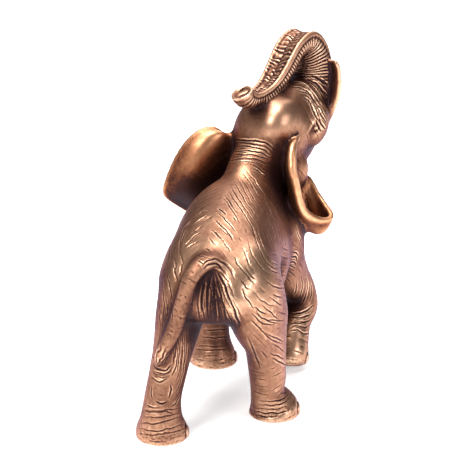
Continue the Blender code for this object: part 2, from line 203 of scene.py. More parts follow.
# ---------------------------------------------------------------- the body
# stations from rump to chest: y, top, underside, half width left, half width right, how far the flanks
# fall away from the spine, fullness of the upper left flank
TORSO = [
    [-69, 88, 80, 5, 5, 0.05, 1.0], [-66.5, 94.5, 74.5, 15, 15, 0.05, 1.0], [-61, 102.5, 70, 24, 24, 0.05, 0.95],
    [-51, 109, 66.8, 30.8, 30, 0.06, 0.9], [-37, 115, 63, 33.7, 33, 0.08, 0.88], [-18, 122, 56.5, 35.9, 31, 0.1, 0.8],
    [4, BACK_HEIGHT, 53, 39.2, 28.5, 0.14, 0.75], [24, 130.5, 53, 38.8, 25, 0.2, 0.8], [41, 132, 56, 31, 22, 0.3, 1.0],
    [54, 128, 62, 25, 20, 0.25, 1.0], [66, 118, 71, 17, 16, 0.1, 1.0], [73, 108, 84, 8, 8, 0.1, 1.0],
]


def torso_rings():
    s = smooth_rows(TORSO, 40)
    th = np.linspace(0, 2 * math.pi, 48, endpoint=False)
    cs, sn = np.cos(th), np.sin(th)
    rings = []
    for y, top, bottom, left, right, roof, full in s:
        mid = bottom + (top - bottom) * 0.475
        power = np.where((sn < 0) & (cs > 0), full, 1.0)
        c, q = np.sign(cs) * np.abs(cs) ** power, np.sign(sn) * np.abs(sn) ** power
        x = np.where(sn < 0, left, right) * q * (1 - roof * c)
        z = mid + np.where(cs > 0, top - mid, mid - bottom) * c
        rings.append(np.stack([x, np.full(48, y), z], 1))
    return np.array(rings)


# legs: x, y, z, half width, half depth, from the joint down to the sole
LEG_ROWS = {
    "hind_left": [[-12, -37, 108, 7, 11], [-13.5, -38, 98, 12.6, 21], [-17, -41, 84, 13.8, 25.5], [-20, -46, 66, 12.6, 22], [-21.8, -53, 50, 10.7, 16.5],
                  [-23.4, -59, 36, 10.3, 13], [-25.2, -62, 24, 10.4, 11.5], [-25.9, -63, 13, 11.8, 12.2],
                  [-26.3, -62, 5, FOOT_R + 0.6, 14], [-26.3, -61.5, 1.5, 15, 14.4], [-26.3, -61.5, -2.5, 14, 13.2]],
    "hind_right": [[13.5, -32, 109, 7, 11], [15.5, -33, 99, 13.6, 21], [18.4, -35, 84, 16.6, 26.4], [21.9, -32, 66, 15.3, 22], [24.2, -27, 50, 12, 16],
                   [24.4, -24, 36, 11, 12.5], [24.5, -21.5, 24, 10.5, 11.3], [23.8, -19, 13, 9.7, 11.6],
                   [25.6, -16, 5, FOOT_R - 0.1, 14.4], [26.6, -15.5, 1.5, 15.2, 15], [26.6, -15.5, -2.5, 14.2, 14]],
    "fore_left": [[-13, 43, 108, 8, 11], [-16, 44, 98, 13, 18], [-18, 44, 84, 15, 21], [-22, 44, 68, 13, 17], [-25, 45, 52, 12, 13],
                  [-27.5, 46, 38, 10.8, 11], [-29, 46.5, 26, 10.3, 10.5], [-29.5, 46.5, 14, 11.6, 11.8],
                  [-28.8, 45.8, 5, FOOT_R + 0.4, 14.2], [-28.8, 45.6, 1.5, 15, 14.6], [-28.8, 45.6, -2.5, 14, 13.6]],
    "fore_right": [[9, 44, 108, 7, 9], [11.3, 46, 99, 13, 16], [13.4, 49, 86, 14.1, 19], [14.6, 56, 68, 12.1, 16], [16.5, 66, 54, 10.8, 13.5],
                   [19.0, 73, 43, 10.8, 11.5], [20.6, 71.5, 33, 11.5, 11], [19.4, 63.5, 25.5, 10.4, 10.5], [19.4, 55, 17, 11, 11.3],
                   [19.4, 49.4, 9.4, 12.3, 12], [19.4, 47.4, 5, 11.4, 11], [19.4, 46.6, 2.6, 8.4, 8.2]],
}


# trunk: right, level distance ahead, height, half width, half depth, from the face to the tip
TRUNK = [
    [0, 24.5, 147, 14.5, 14], [0.5, 30.5, 157, 13.2, 13.4], [0.8, 34.8, 168, 11.9, 12.2], [1.1, 36.3, 180, 11.2, 11.6],
    [1.2, 33.2, 190.4, 10.1, 9.9], [0.6, 27, 196.6, 9.4, 8.9], [0.4, 17.6, 194.5, 9.2, 7.5], [0.3, 11.6, 189, 8.9, 7.3],
    [0.3, 5.6, 182.6, 8.4, 7], [0.2, -1, 177, 7.8, 6.1], [0.2, -8, 173, 7, 5.2], [0, -14.5, 170.9, 6.5, 5],
    [-0.1, -20, 170.1, 6.1, 5], [-0.3, -24.8, 170.6, 6.2, 5.4], [-0.6, -28.8, 172.6, 6.6, 6.3], [-1, -31.2, 176.2, 7, 7.4],
]
TIP_LIP = 0.8          # how far the lower lip of the tip stands out
GUTTER = 0.3           # depth of the channel along the trunk's outer face, over the half depth


def trunk_axis(n):
    """Centre, half width, half depth, across, and inward directions along the trunk."""
    s = smooth_rows(in_plane(TRUNK), n)
    c = s[:, :3]
    t = np.gradient(c, axis=0)
    t /= np.linalg.norm(t, axis=1)[:, None]
    r = RIGHT - (t @ RIGHT)[:, None] * t
    r /= np.linalg.norm(r, axis=1)[:, None]
    return c, s[:, 3], s[:, 4], r, np.cross(r, t), t


def trunk_rings(n, m):
    """A D-shaped tube: flat and channelled on its outer face, rounded towards the inside of the curl."""
    c, a, b, r, q, t = trunk_axis(n)
    th = np.linspace(0, 2 * math.pi, m, endpoint=False)
    cs, sn = np.cos(th), np.sin(th)
    rings = []
    for i in range(n):
        k = i / (n - 1)
        # plain and round at the face and at the tip, D-shaped between
        d = min(1.0, max(0.0, (k - 0.08) / 0.14)) * min(1.0, max(0.0, (0.9 - k) / 0.12))
        pw = 1 - 0.42 * d
        x = np.where(sn < 0, np.sign(cs) * np.abs(cs) ** pw, cs * (1 - 0.22 * d * sn))
        y = np.where(sn < 0, -np.abs(sn) ** pw, sn)
        y = np.where(sn < 0, y * (1 - GUTTER * d * np.exp(-((x / 0.62) ** 4))), y)
        lip = TIP_LIP * max(0.0, (k - 0.93) / 0.07) * y
        rings.append(c[i] + np.outer(x * a[i], r[i]) + np.outer(y * b[i], q[i]) + np.outer(lip, t[i]))
    return np.array(rings)


def head_parts():
    parts = [
        lump("cranium", (0, -2, 0), (23, 24, 23), in_head),
        lump("dome_right", (9, -2, 8), (13, 18, 16), in_head),
        lump("dome_left", (-11.5, -4, 2.2), (13, 16.3, 13.2), in_head),
        lump("cheek_right", (14.2, 12.5, -11), (10.8, 16.3, 13.3), in_head),
        lump("cheek_left", (-13.5, 12.5, -11), (10.8, 16.3, 13.3), in_head),
        loft("brow", tube_rings(in_head([[0, 2, 2, 20, 18], [0, 16, -2, 18, 18], [0, 27, -8, 15.5, 15], [0, 33, -12, 13, 12]]), 12, 24, RIGHT)),
        loft("jaw", tube_rings(in_head([[0, -6, -19, 16.8, 13], [0, 8, -25.5, 13.6, 9.4], [0, 22, -31.5, 8.6, 5.8], [0, 31, -32.5, 5.6, 4], [0, 38, -31, 3, 2.6]]), 14, 20, RIGHT)),
        lump("throat", (11.8, 64, 124.5), (14.8, 12, 16)),
        loft("neck", tube_rings([[-2, 28, 104, 22, 28], [-3, 42, 113, 18, 29], [-2, 53, 124, 17.5, 25], [3, 62, 138, 19, 21]], 14, 28)),
    ]
    parts.append(loft("trunk", trunk_rings(90, 36)))
    # the narrow gap between the right tusk and the trunk is closed at the back
    parts.append(loft("web", tube_rings(in_plane([
        [10.5, 35, 150, 5, 2.4], [13, 38, 160, 5, 2], [14.2, 39.2, 171, 4.8, 1.8], [14.6, 38.8, 179, 4.2, 1.6],
        [14.8, 37.8, 184.4, 3.4, 1.4], [15, 37, 186.8, 1.4, 1]]), 20, 12, RIGHT)))
    for s, side in ((1, "right"), (-1, "left")):
        parts.append(loft("tusk_" + side, tube_rings(in_plane([
            [s * 12, 32, 144, 3.4, 3.4], [s * 14.2, 36, 150, 3, 3], [s * 16.8, 37.4, 156.5, 2.6, 2.6], [s * 19.3, 38.7, 164, 2.3, 2.3],
            [s * 20, 39, 171, 2.1, 2.1], [s * 20.1, 38.5, 177.5, 2, 2], [s * 19.6, 37.5, 183, 1.8, 1.8], [s * 18.3, 36.2, 186.6, 1.3, 1.3]]), 30, 14, RIGHT)))
        parts.append(loft("sheath_" + side, tube_rings(in_head([
            [s * 11, 16, -13, 8, 8], [s * 12.5, 24, -17, 6.5, 6.5], [s * 14, 30, -17.5, 4.6, 4.6]]), 8, 16, RIGHT)))
    return parts


# ears: root line, outer rim, and how far the middle of the flap cups away from the chord between them
EARS = {
    "ear_right": dict(
        root=[(19, 66, 146), (19.5, 71, 130), (20, 73, 114)],
        rim=[(24.5, 50.5, 147), (24, 41.5, 147), (24, 35, 144.5), (24.5, 31.5, 139), (25.5, 29.5, 133), (27, 30, 126.5),
             (28, 32, 119.5), (29, 35.5, 112), (31, 41, 105), (34.5, 47, 100.5), (39, 52, 98), (42.5, 55, 98.5), (42.5, 58.5, 100.5),
             (39, 62.5, 103), (35.2, 67, 106), (31.5, 69.5, 110), (28.5, 71.5, 114.5), (25.5, 73, 119.5)],
        cup=[(-1, 0, 0), (-3, 0, 0), (-5, 0, -5), (-5, 2, -16), (-1, 1, -23.3), (3, -3, -19.3), (1.5, -4, -9.5), (0, -2, -2)]),
    "ear_left": dict(
        root=[(-15, 66, 145), (-14, 69, 130), (-13, 71, 112)],
        rim=[(-20.5, 65, 138), (-25.6, 61, 142), (-31.6, 55, 148.2), (-38.5, 50, 146.8), (-44.2, 47, 141.8), (-49.2, 45, 134.6),
             (-53.6, 43, 125.4), (-57, 42, 116), (-58.8, 43, 109.5), (-57.6, 46, 105.4), (-53.5, 50, 100.8), (-48, 54, 95.8),
             (-40, 58, 91), (-31, 62, 92), (-24, 65, 97), (-18, 68, 106)],
        cup=[(0, -3, 0), (0, -8, 1), (1, -11, 0), (1, -11.5, -2), (1, -9, -4), (1, -4, -4), (0, 0, -2)]),
}


def ear_grid(root, rim, cup, across=16, along=44):
    v = np.linspace(0, 1, along)
    root, rim, cup = smooth_rows(root, along), smooth_rows(rim, along), smooth_rows(cup, along)
    rows = []
    for u in np.linspace(0, 1, across):
        rows.append(root * (1 - u) + rim * u + cup * math.sin(math.pi * u**1.15))
    return np.array(rows)


def ear(name, root, rim, cup):
    grid = ear_grid(root, rim, cup)
    us = np.linspace(0, 1, len(grid))
    thick = EAR_THICK * (1 + 1.0 * np.exp(-us / 0.12) + 0.35 * np.exp(-(1 - us) / 0.08))
    return sheet(name, grid, thick)


# the tail runs on from the crest of the rump and lies against the left thigh
TAIL = [[2, -44, 103, 8, 5], [1, -54, 104.5, 8, 5], [-0.9, -62, 104, 7.4, 5], [-3.4, -67.2, 101, 6.3, 5],
        [-6.4, -69.4, 95.2, 5.4, 4.6], [-9.4, -70, 86.6, 4.9, 4.3], [-12.8, -70, 76, 4.7, 4.2], [-16.4, -70.4, 66.4, 4.5, 4],
        [-20.3, -71.5, 58.4, 4.2, 3.8], [-23.6, -71.8, 51.4, 3.2, 3], [-25.9, -71.5, 46.4, 1.2, 1.2]]

# muscle and bone under the skin, and hollows between them: x, y, z, radius, height
ANATOMY = [
    # hip bones, haunches, hollows of the flanks, thighs
    (22, -36, 105, 10, 1.0), (29, -38, 84, 13, 0.8), (30, -6, 88, 12, -1.4), (34, -22, 66, 8, 0.8), (20, -60, 84, 9, 0.8),
    (-24, -36, 104, 10, 0.7), (-33, -40, 84, 13, 0.1), (-34, -8, 90, 13, -1.2), (-31, -40, 66, 8, 0.8), (-18, -62, 82, 8, 0.5),
    # barrel and shoulders
    (27, 15, 93, 10, 0.5), (30.5, 0, 82, 7.5, -3.2), (31, -9, 74, 6, -1.2), (-36, 10, 84, 16, 0.6), (25, 40, 96, 10, 1.0), (-26, 42, 96, 12, 1.0), (22, 24, 112, 8, -1.0),
    (-24, 26, 112, 8, -1.0),
    # spine ridge between the hips
    (0, -46, 113, 7, 0.9), (0, -24, 120, 8, 0.5),
    # hollow under the root of the tail, and the cleft of the buttocks below it
    (5, -67, 96, 6.5, -3.8), (6, -68, 86, 7, -4), (7, -66, 77, 7, -3.0),
    # knees, hocks and elbows
    (22, 82, 44, 6, 0.8), (-29, 58, 38, 6, 0.8), (25, -12, 36, 6, 0.6), (-24, -50, 36, 6, 0.6), (-26, -76, 22, 5, 0.6),
    (24, -33, 26, 5, 0.6),
]


def swell(points, normals, rows):
    """Points (mm, in the figure's own place) pushed along their normals by rounded swellings and hollows."""
    push = np.zeros(len(points))
    for x, y, z, r, h in rows:
        push += h * np.exp(-((points - TO_ORIGIN - (x, y, z)) ** 2).sum(1) / (r * r))
    return points + normals * push[:, None]


def build_shapes():
    shapes = [loft("torso", torso_rings())]
    for name, rows in LEG_ROWS.items():
        shapes.append(loft(name, tube_rings(rows, 40, 24)))
    shapes += head_parts()
    for name, e in EARS.items():
        shapes.append(ear(name, **e))
    shapes.append(loft("tail", tube_rings(TAIL, 40, 14)))
    return shapes


# ================================================================ the view that the figure is seen from
FRAME_PX = 474
AZIMUTH, ELEVATION = math.radians(16.0), math.radians(19.0)
DISTANCE, FOCAL_PX = 850.0, 1480.0
BACKWARD = np.array([
    math.sin(AZIMUTH) * math.cos(ELEVATION), -math.cos(AZIMUTH) * math.cos(ELEVATION), math.sin(ELEVATION)])
CAM_RIGHT = np.array([math.cos(AZIMUTH), math.sin(AZIMUTH), 0.0])
CAM_UP = np.cross(BACKWARD, CAM_RIGHT)
AIM = np.array([0.0, 0.0, 100.0]) + TO_ORIGIN
EYE = AIM + DISTANCE * BACKWARD


def view_ray(px, py):
    d = CAM_RIGHT * (px - FRAME_PX / 2) / FOCAL_PX + CAM_UP * (FRAME_PX / 2 - py) / FOCAL_PX - BACKWARD
    return d / np.linalg.norm(d)


# ================================================================ mesh helpers (all in mm)
def union(shapes, voxel):
    """One closed skin around all the shapes."""
    verts, faces = [], []
    for ob in shapes:
        o = len(verts)
        verts += [v.co.copy() for v in ob.data.vertices]
        faces += [tuple(i + o for i in p.vertices) for p in ob.data.polygons]
    me = bpy.data.meshes.new("skin")
    me.from_pydata(verts, [], faces)
    return remeshed(me, voxel)


def remeshed(me, voxel):
    ob = bpy.data.objects.new("work", me)
    bpy.context.scene.collection.objects.link(ob)
    mod = ob.modifiers.new("union", "REMESH")
    mod.mode = "VOXEL"
    mod.voxel_size = voxel * MM
    bpy.context.view_layer.update()
    out = bpy.data.meshes.new_from_object(ob.evaluated_get(bpy.context.evaluated_depsgraph_get()))
    bpy.data.objects.remove(ob)
    return out


def get_co(me):
    a = np.zeros(len(me.vertices) * 3, np.float32)
    me.vertices.foreach_get("co", a)
    return a.reshape(-1, 3).astype(float) / MM


def set_co(me, v):
    me.vertices.foreach_set("co", (v * MM).astype(np.float32).ravel())
    me.update()


def get_edges(me):
    e = np.zeros(len(me.edges) * 2, np.int32)
    me.edges.foreach_get("vertices", e)
    return e.reshape(-1, 2)


def get_normals(me):
    a = np.zeros(len(me.vertices) * 3, np.float32)
    me.vertex_normals.foreach_get("vector", a)
    return a.reshape(-1, 3).astype(float)


def neighbour_mean(v, e, count):
    out = np.empty_like(v)
    if v.ndim == 1:
        return (np.bincount(e[:, 0], v[e[:, 1]], len(v)) + np.bincount(e[:, 1], v[e[:, 0]], len(v))) / count
    for k in range(v.shape[1]):
        out[:, k] = np.bincount(e[:, 0], v[e[:, 1], k], len(v)) + np.bincount(e[:, 1], v[e[:, 0], k], len(v))
    return out / count[:, None]


def relax(v, e, w, rounds):
    count = np.maximum(np.bincount(e.ravel(), minlength=len(v)), 1)
    w = np.asarray(w)
    w = w[:, None] if w.ndim == 1 and v.ndim == 2 else w
    for _ in range(rounds):
        v = v + w * (neighbour_mean(v, e, count) - v)
    return v


def bvh_of(me):
    bm = bmesh.new()
    bm.from_mesh(me)
    t = BVHTree.FromBMesh(bm)
    bm.free()
    return t


def kd_of(points):
    kd = KDTree(len(points))
    for i, p in enumerate(points):
        kd.insert(p, i)
    kd.balance()
    return kd


def labels_and_seams(points, shapes, width):
    """For each point: which shape it lies on, the next nearest, and how near it is to a seam."""
    near = np.full((len(points), 2), 1e9)
    who = np.zeros((len(points), 2), int)
    pm = points * MM
    for k, ob in enumerate(shapes):
        tree = bvh_of(ob.data)
        c = get_co(ob.data)
        lo, hi = c.min(0) - 3 * width, c.max(0) + 3 * width
        for i in np.where(((points > lo) & (points < hi)).all(1))[0]:
            hit = tree.find_nearest(Vector(pm[i]), 3 * width * MM)
            if hit[0] is not None:
                d = hit[3] / MM
                if d < near[i, 0]:
                    near[i, 1], who[i, 1] = near[i, 0], who[i, 0]
                    near[i, 0], who[i, 0] = d, k
                elif d < near[i, 1]:
                    near[i, 1], who[i, 1] = d, k
    return who, near


# ================================================================ carving
class Carver:
    """Gathers strokes (grooves) and applies them to a skin."""

    def __init__(self, points, normals, bvh):
        self.p, self.n, self.bvh = points, normals, bvh
        self.kd = kd_of(points)
        m = len(points)
        self.t = np.full(m, 9.0)       # distance to the nearest stroke, over its half width
        self.depth = np.zeros(m)
        self.round = np.zeros(m)       # how far the skin swells beside the stroke
        self.taken = {}                # cells near strokes already laid, for spacing
        self.guides = []

    def snap(self, q, reach=6.0):
        hit = self.bvh.find_nearest(Vector(q * MM), reach * MM)
        if hit[0] is None:
            return None, None
        return np.array(hit[0]) / MM, np.array(hit[1])

    def from_view(self, px, py):
        hit = self.bvh.ray_cast(Vector(EYE * MM), Vector(view_ray(px, py)))
        return (None, None) if hit[0] is None else (np.array(hit[0]) / MM, np.array(hit[1]))

    def stroke(self, path, depth, width, guide=True, taper=0.25, swell=0.14):
        """Lay one groove along a 3-D path that lies on the skin."""
        path = np.asarray(path, float)
        if len(path) < 2:
            return
        seg = np.linalg.norm(np.diff(path, axis=0), axis=1)
        length = seg.sum()
        if length < 1.0:
            return
        cum = np.concatenate([[0], np.cumsum(seg)])
        n = max(3, int(length / 0.3))
        u = np.linspace(0, length, n)
        pts = np.stack([np.interp(u, cum, path[:, k]) for k in range(3)], 1)
        f = u / length
        fade = np.clip(np.minimum(f, 1 - f) / taper, 0, 1) ** 0.6
        for k in range(n):
            w = width * (0.55 + 0.45 * fade[k])
            d = depth * fade[k]
            if d < 0.03:
                continue
            for co, i, dist in self.kd.find_range(pts[k], 2.7 * w):
                t = dist / w
                # the deepest pull wins
                if t < self.t[i] - 0.02 or (abs(t - self.t[i]) < 0.1 and d > self.depth[i]):
                    self.t[i], self.depth[i], self.round[i] = t, d, swell
        step = max(1, int(0.6 / 0.3))
        for k in range(0, n, step):
            self.taken.setdefault(tuple((pts[k] // 2.0).astype(int)), []).append((pts[k], id(path)))
        if guide:
            for k in range(0, n - 1, max(1, n // 5)):
                j = min(n - 1, k + max(1, n // 5))
                d = pts[j] - pts[k]
                if np.linalg.norm(d) > 0.3:
                    self.guides.append((*pts[(j + k) // 2], *(d / np.linalg.norm(d))))

    def crowded(self, q, gap):
        c = (q // 2.0).astype(int)
        for a in (-1, 0, 1):
            for b in (-1, 0, 1):
                for g in (-1, 0, 1):
                    for p, _ in self.taken.get((c[0] + a, c[1] + b, c[2] + g), ()):
                        if (p[0] - q[0]) ** 2 + (p[1] - q[1]) ** 2 + (p[2] - q[2]) ** 2 < gap * gap:
                            return True
        return False

    def relief(self):
        g = self.depth * np.exp(-(self.t**2))
        lip = self.round * self.depth * np.exp(-(((self.t - 1.75) / 0.62) ** 2))
        return lip - g


def curve_through(pts, n):
    return smooth_rows(pts, n) if len(pts) > 2 else np.array(pts[0]) + np.linspace(0, 1, n)[:, None] * (
        np.array(pts[-1]) - np.array(pts[0]))


def project_stroke(carver, pts):
    """A stroke drawn in the view, laid on the skin. Cut where the skin jumps away."""
    runs, run, last = [], [], None
    for px, py in curve_through(pts, max(6, 4 * len(pts))):
        px += 0.9 * noise.noise(Vector((px * 0.16, py * 0.16, 3.0)))      # an unsteady hand
        py += 1.3 * noise.noise(Vector((px * 0.16, py * 0.16, 9.0)))
        hit, _ = carver.from_view(px, py)
        if hit is None or (last is not None and np.linalg.norm(hit - last) > 6.0):
            if len(run) > 2:
                runs.append(run)
            run = []
        if hit is not None:
            run.append(hit)
        last = hit
    if len(run) > 2:
        runs.append(run)
    return runs


# ================================================================ the deepest wrinkles, as they are seen in the view
# each is a short row of places in the 474 x 474 view, laid on the skin from there
RUMP = [
    [(211.4,229.6),(217.6,234.7),(221.6,238.3)], [(209.4,237.8),(215.5,244.9)], [(219.6,228.1),(228.8,235.2),(234.9,243.4)],
    [(221.6,240.3),(227.8,247.4),(229.8,252)], [(205.3,246.9),(211.4,252)], [(197.1,255.6),(205.3,257.1),(211.9,258.2)],
    [(211.9,258.2),(220.6,260.2),(228.8,265.8),(232.3,270.9),(233.9,275)], [(211.4,267.9),(217.6,267.3),(223.7,270.4),(227.8,277)],
    [(209.4,269.9),(215.5,269.9),(221.6,274),(226.7,280.1),(230.8,290.3),(236.9,302.6)], [(197.1,260.2),(204.8,264.3)],
    [(233.9,256.6),(238,264.8),(243.1,270.9),(248.2,277),(255.3,285.2)], [(244.6,265.8),(249.2,273),(255.8,279.1)],
    [(242,245.4),(245.1,254.6),(250.2,265.8),(256.3,273)], [(247.1,237.2),(251.2,251.5),(257.3,262.8),(264.5,270.9),(271.6,275)],
    [(252.2,228.1),(256.3,241.3),(262.4,255.6),(269.6,264.8),(276.7,268.9),(283.9,270.9)],
    [(255.3,225),(260.4,240.3),(266.5,254.6),(273.7,262.8),(280.8,266.8)], [(263.5,262.8),(268.6,267.9),(274.7,271.9),(285.9,276)],
    [(262.4,278.1),(268.6,283.2),(276.7,287.2),(283.9,288.8)], [(272.7,294.4),(281.8,298.5)], [(268.6,296.4),(275.7,301.5),(282.9,305.6)],
    [(250.2,290.3),(257.3,295.4),(262.4,301.5),(269.6,305.6),(277.2,306.6)], [(261.4,304.6),(267.6,309.7),(273.7,315.3),(279.8,319.4)],
    [(254.3,306.6),(260.4,311.7),(267,313.8)], [(255.3,308.7),(260.4,316.8),(267.6,320.4),(278.8,323.5)], [(251.2,312.8),(257.3,318.9),(263,325.5)],
    [(252.2,320.9),(258.4,327),(262.4,329.1)], [(241,288.8),(246.1,297.4),(251.2,304.6),(254.3,308.7)], [(240,278.1),(245.1,286.2),(250.2,291.3)],
    [(223.7,285.2),(228.8,294.4),(233.9,302.6),(238,309.7),(244.1,319.9)], [(227.8,282.1),(231.8,291.3),(235.9,300.5)],
    [(221.6,290.3),(226.7,300.5),(231.8,309.7),(238,319.9),(242,327)], [(219.6,291.3),(224.7,306.6),(229.8,316.8),(234.9,327)],
    [(210.4,286.2),(211.9,296.4),(213,306.6),(214.5,321.9)], [(215.5,290.3),(217.6,302.6),(220.6,320.9)],
    [(206.3,290.3),(206.8,301.5),(208.4,319.9)], [(201.2,291.3),(202.2,306.6),(205.3,321.9)], [(197.1,294.4),(198.2,308.7),(200.2,321.9)],
    [(219.6,296.4),(223.7,311.7),(226.7,323)], [(203.3,225),(195.1,231.1),(190,236.2)], [(201.2,232.1),(193.1,237.2),(186.9,243.4),(183.9,247.4)],
    [(198.2,241.3),(191,245.4),(184.9,249.5)], [(183.9,231.1),(180.8,239.3),(179.3,247.4),(180.8,255.6)],
    [(180.8,254.6),(182.3,259.7),(183.4,264.8)], [(181.8,263.8),(180.8,269.9),(179.3,276)],
    [(174.7,257.7),(175.7,265.8),(174.7,270.9),(177.8,282.1)], [(173.2,265.8),(175.2,275),(176.7,282.1)], [(167.6,274),(169.6,286.2),(171.6,298.5)],
    [(162.4,282.1),(163.5,296.4),(164.5,311.7)], [(175.7,230.1),(171.6,240.3),(169.6,253.6),(167.6,265.8)],
    [(170.6,300.5),(172.7,312.8),(171.6,323)], [(165.5,296.4),(167.6,311.7),(168.6,327)], [(159.4,296.4),(159.4,311.7),(160.4,327)],
]
LEGS = [
    [(253.9,311.2),(263.4,319),(273.4,320.1),(284.6,321.2)], [(252.2,313.4),(262.3,323.4),(275.7,324)],
    [(253.3,321.2),(263.4,332.4),(271.2,339.1),(283.5,344.6)], [(264.5,332.4),(273.4,336.8),(283.5,342.4)],
    [(271.2,343.5),(277.9,346.9),(284.6,352.5)], [(272.3,358),(279,361.4),(285.7,365.3)], [(270.1,353.6),(276.8,355.8),(284.6,359.2)],
    [(247.8,336.8),(253.3,350.2),(257.8,362.5),(260,369.2)], [(254.5,353.6),(258.9,362.5),(263.4,367)], [(271.2,391.5),(279,385.9),(281.2,383.7)],
    [(274.6,393.8),(281.2,389.3),(285.7,385.9)], [(279,396),(285.7,391.5)], [(257.8,400.4),(267.9,401.6),(279,400.4),(289.1,394.9)],
    [(256.7,403.8),(267.9,405.5),(281.2,403.8),(290.2,398.2)], [(255.6,407.7),(269,409.4),(281.2,408.3),(289.1,404.9)],
    [(254.5,411.6),(267.9,413.3),(283.5,412.2),(290.2,409.9)], [(255.6,415),(269,417.2),(283.5,416.1)], [(175.2,342.4),(175.8,351.3),(174.1,362.5)],
    [(178.6,336.8),(179.7,348),(178.6,360.3),(177.5,371.4)], [(181.9,333.5),(183,346.9),(181.9,362.5),(179.7,378.1)],
    [(185.8,331.2),(186.9,344.6),(185.8,358),(183,371.4)], [(154,365.8),(159.6,369.2),(167.4,369.2),(171.9,364.7)],
    [(154,371.4),(161.8,373.7),(169.6,371.4),(173,367)], [(154.6,375.9),(162.9,378.1),(170.8,374.8)],
    [(146.2,409.9),(152.9,410.5),(161.8,410.5),(175.2,409.4),(179.7,407.1)], [(144,416.1),(152.9,417.2),(162.9,417.2),(180.8,412.7)],
    [(140.6,422.8),(151.8,423.9),(167.4,420.5),(183,416.1)], [(138.4,427.2),(149.6,430.6),(161.8,430.6),(184.2,423.9)],
    [(137.3,432.8),(150.7,435),(169.6,432.8),(185.8,428.3)], [(159.6,302.2),(159.6,313.4),(158.5,324.6)], [(164.1,300),(163.5,313.4),(161.8,326.8)],
    [(168.5,300),(168,308.9),(166.3,320.1)], [(203.1,329.6),(214.3,330.1),(228.8,329)], [(202,336.8),(214.3,337.9),(228.8,336.8)],
    [(196.4,345.8),(209.8,346.9),(225.4,345.2)], [(194.2,349.1),(209.8,350.2),(229.9,349.1)],
]
NECK = [
    [(235.9,140.4),(244.8,139.9),(256.4,140.8),(267.1,143.9),(274.3,149.3)], [(234.1,143.9),(243.9,142.6),(254.6,144.4),(265.4,147.1),(272.5,152)],
    [(231.4,148.4),(240.4,146.2),(253.8,147.5),(264.5,150.2),(270.7,154.6)], [(230.5,152.9),(240.4,150.6),(252.9,151.1),(260.9,152.9),(269.8,158.2)],
    [(230.5,156.4),(239.5,154.2),(251.1,154.6),(261.8,156.9),(269.8,160.9)], [(229.6,160.9),(238.6,158.7),(249.3,158.2),(260,160.4),(268.9,164.5)],
    [(228.8,164.5),(237.7,162.2),(246.6,161.3),(258.2,163.6),(267.1,168)], [(249.3,163.6),(257.3,167.1),(264.5,172.5),(269.8,177)],
    [(252.9,168),(260,172.5),(266.2,177.9)],
]
BACK = [
    [(245.7,170.7),(252.9,178.8),(258.2,185.9),(263.6,193.9),(269.8,203.8)], [(242.1,172.5),(249.3,181.4),(254.6,190.4),(259.1,198.4)],
    [(238.6,175.2),(245.7,185),(251.1,193.9),(256.4,203.8),(262.7,213.6)], [(235.9,177),(242.1,185.9),(247.5,196.6),(253.8,206.4),(259.1,212.7)],
    [(233.2,181.4),(238.6,189.5),(243.9,199.3),(250.2,208.2),(256.4,216.2),(263.6,225.2)],
    [(230.5,185.9),(235.9,194.8),(242.1,204.6),(249.3,214.5),(256.4,224.3)],
    [(227.9,190.4),(233.2,198.4),(239.5,207.3),(245.7,216.2),(252.9,228.8),(259.1,242.1)], [(224.3,194.8),(230.5,203.8),(237.7,213.6)],
    [(222.5,196.6),(227.9,204.6),(234.1,212.7),(240.4,224.3)], [(218,208.2),(226.1,214.5)],
    [(217.1,212.7),(222.5,217.1),(230.5,225.2),(235.9,232.3)], [(214.5,219.8),(220.7,225.2),(227.9,232.3),(234.1,241.2)],
    [(211.8,229.6),(217.1,235),(224.3,242.1)], [(209.1,237.7),(213.6,243),(216.2,246.6)], [(233.2,216.2),(235.9,220.7)],
    [(262.7,194.8),(267.1,204.6),(271.6,215.4),(274.3,224.3)], [(267.1,195.7),(272.5,204.6),(277,214.5),(279.6,221.6)],
    [(264.5,207.3),(268.9,219.8),(273.4,233.2),(277,243.9)], [(249.3,221.6),(254.6,233.2),(259.1,243.9)], [(209.1,208.2),(201.1,212.7),(193,218)],
    [(209.1,213.6),(200.2,219.8),(193,225.2)], [(204.6,225.2),(198.4,228.8),(192.1,232.3)], [(201.1,232.3),(193.9,236.8),(189.5,240.4)],
    [(198.4,241.2),(192.1,245.7),(188.6,249.3)], [(189.5,226.1),(184.1,235),(181.4,243.9),(179.6,249.3)], [(193.9,217.1),(185.9,227),(181.4,236.8)],
]
FORE = [
    [(295.4,225.1),(298.5,235.3),(302.6,245.5)], [(292.3,251.6),(296.4,252.7),(298.5,256.7)], [(290.3,257.8),(295.4,256.7),(297.4,260.8)],
    [(288.3,262.9),(293.4,261.8),(296.4,264.9)], [(287.2,269),(290.3,265.9),(295.4,268)], [(296.4,280.2),(295.4,290.4),(291.3,299.6)],
    [(301.5,275.1),(302.6,287.3),(298.5,300.6)], [(305.6,273.1),(307.7,286.3),(303.6,300.6),(299.5,306.7)],
    [(309.7,278.2),(311.7,290.4),(309.7,301.6)], [(288.3,312.9),(296.4,313.9),(306.6,310.8),(313.8,304.7)],
    [(288.3,316.9),(298.5,318),(308.7,314.9),(313.8,310.8)], [(288.3,322),(298.5,323.1),(309.7,320)],
]
KNEE = [
    [(288.2,323.7),(298.4,321.6),(308.6,320.6),(313.7,315.5)], [(288.2,327.8),(297.3,325.7),(305.5,327.8),(311.6,323.7)],
    [(289.2,331.8),(296.3,329.8),(303.5,332.9),(309.6,333.9)],
]
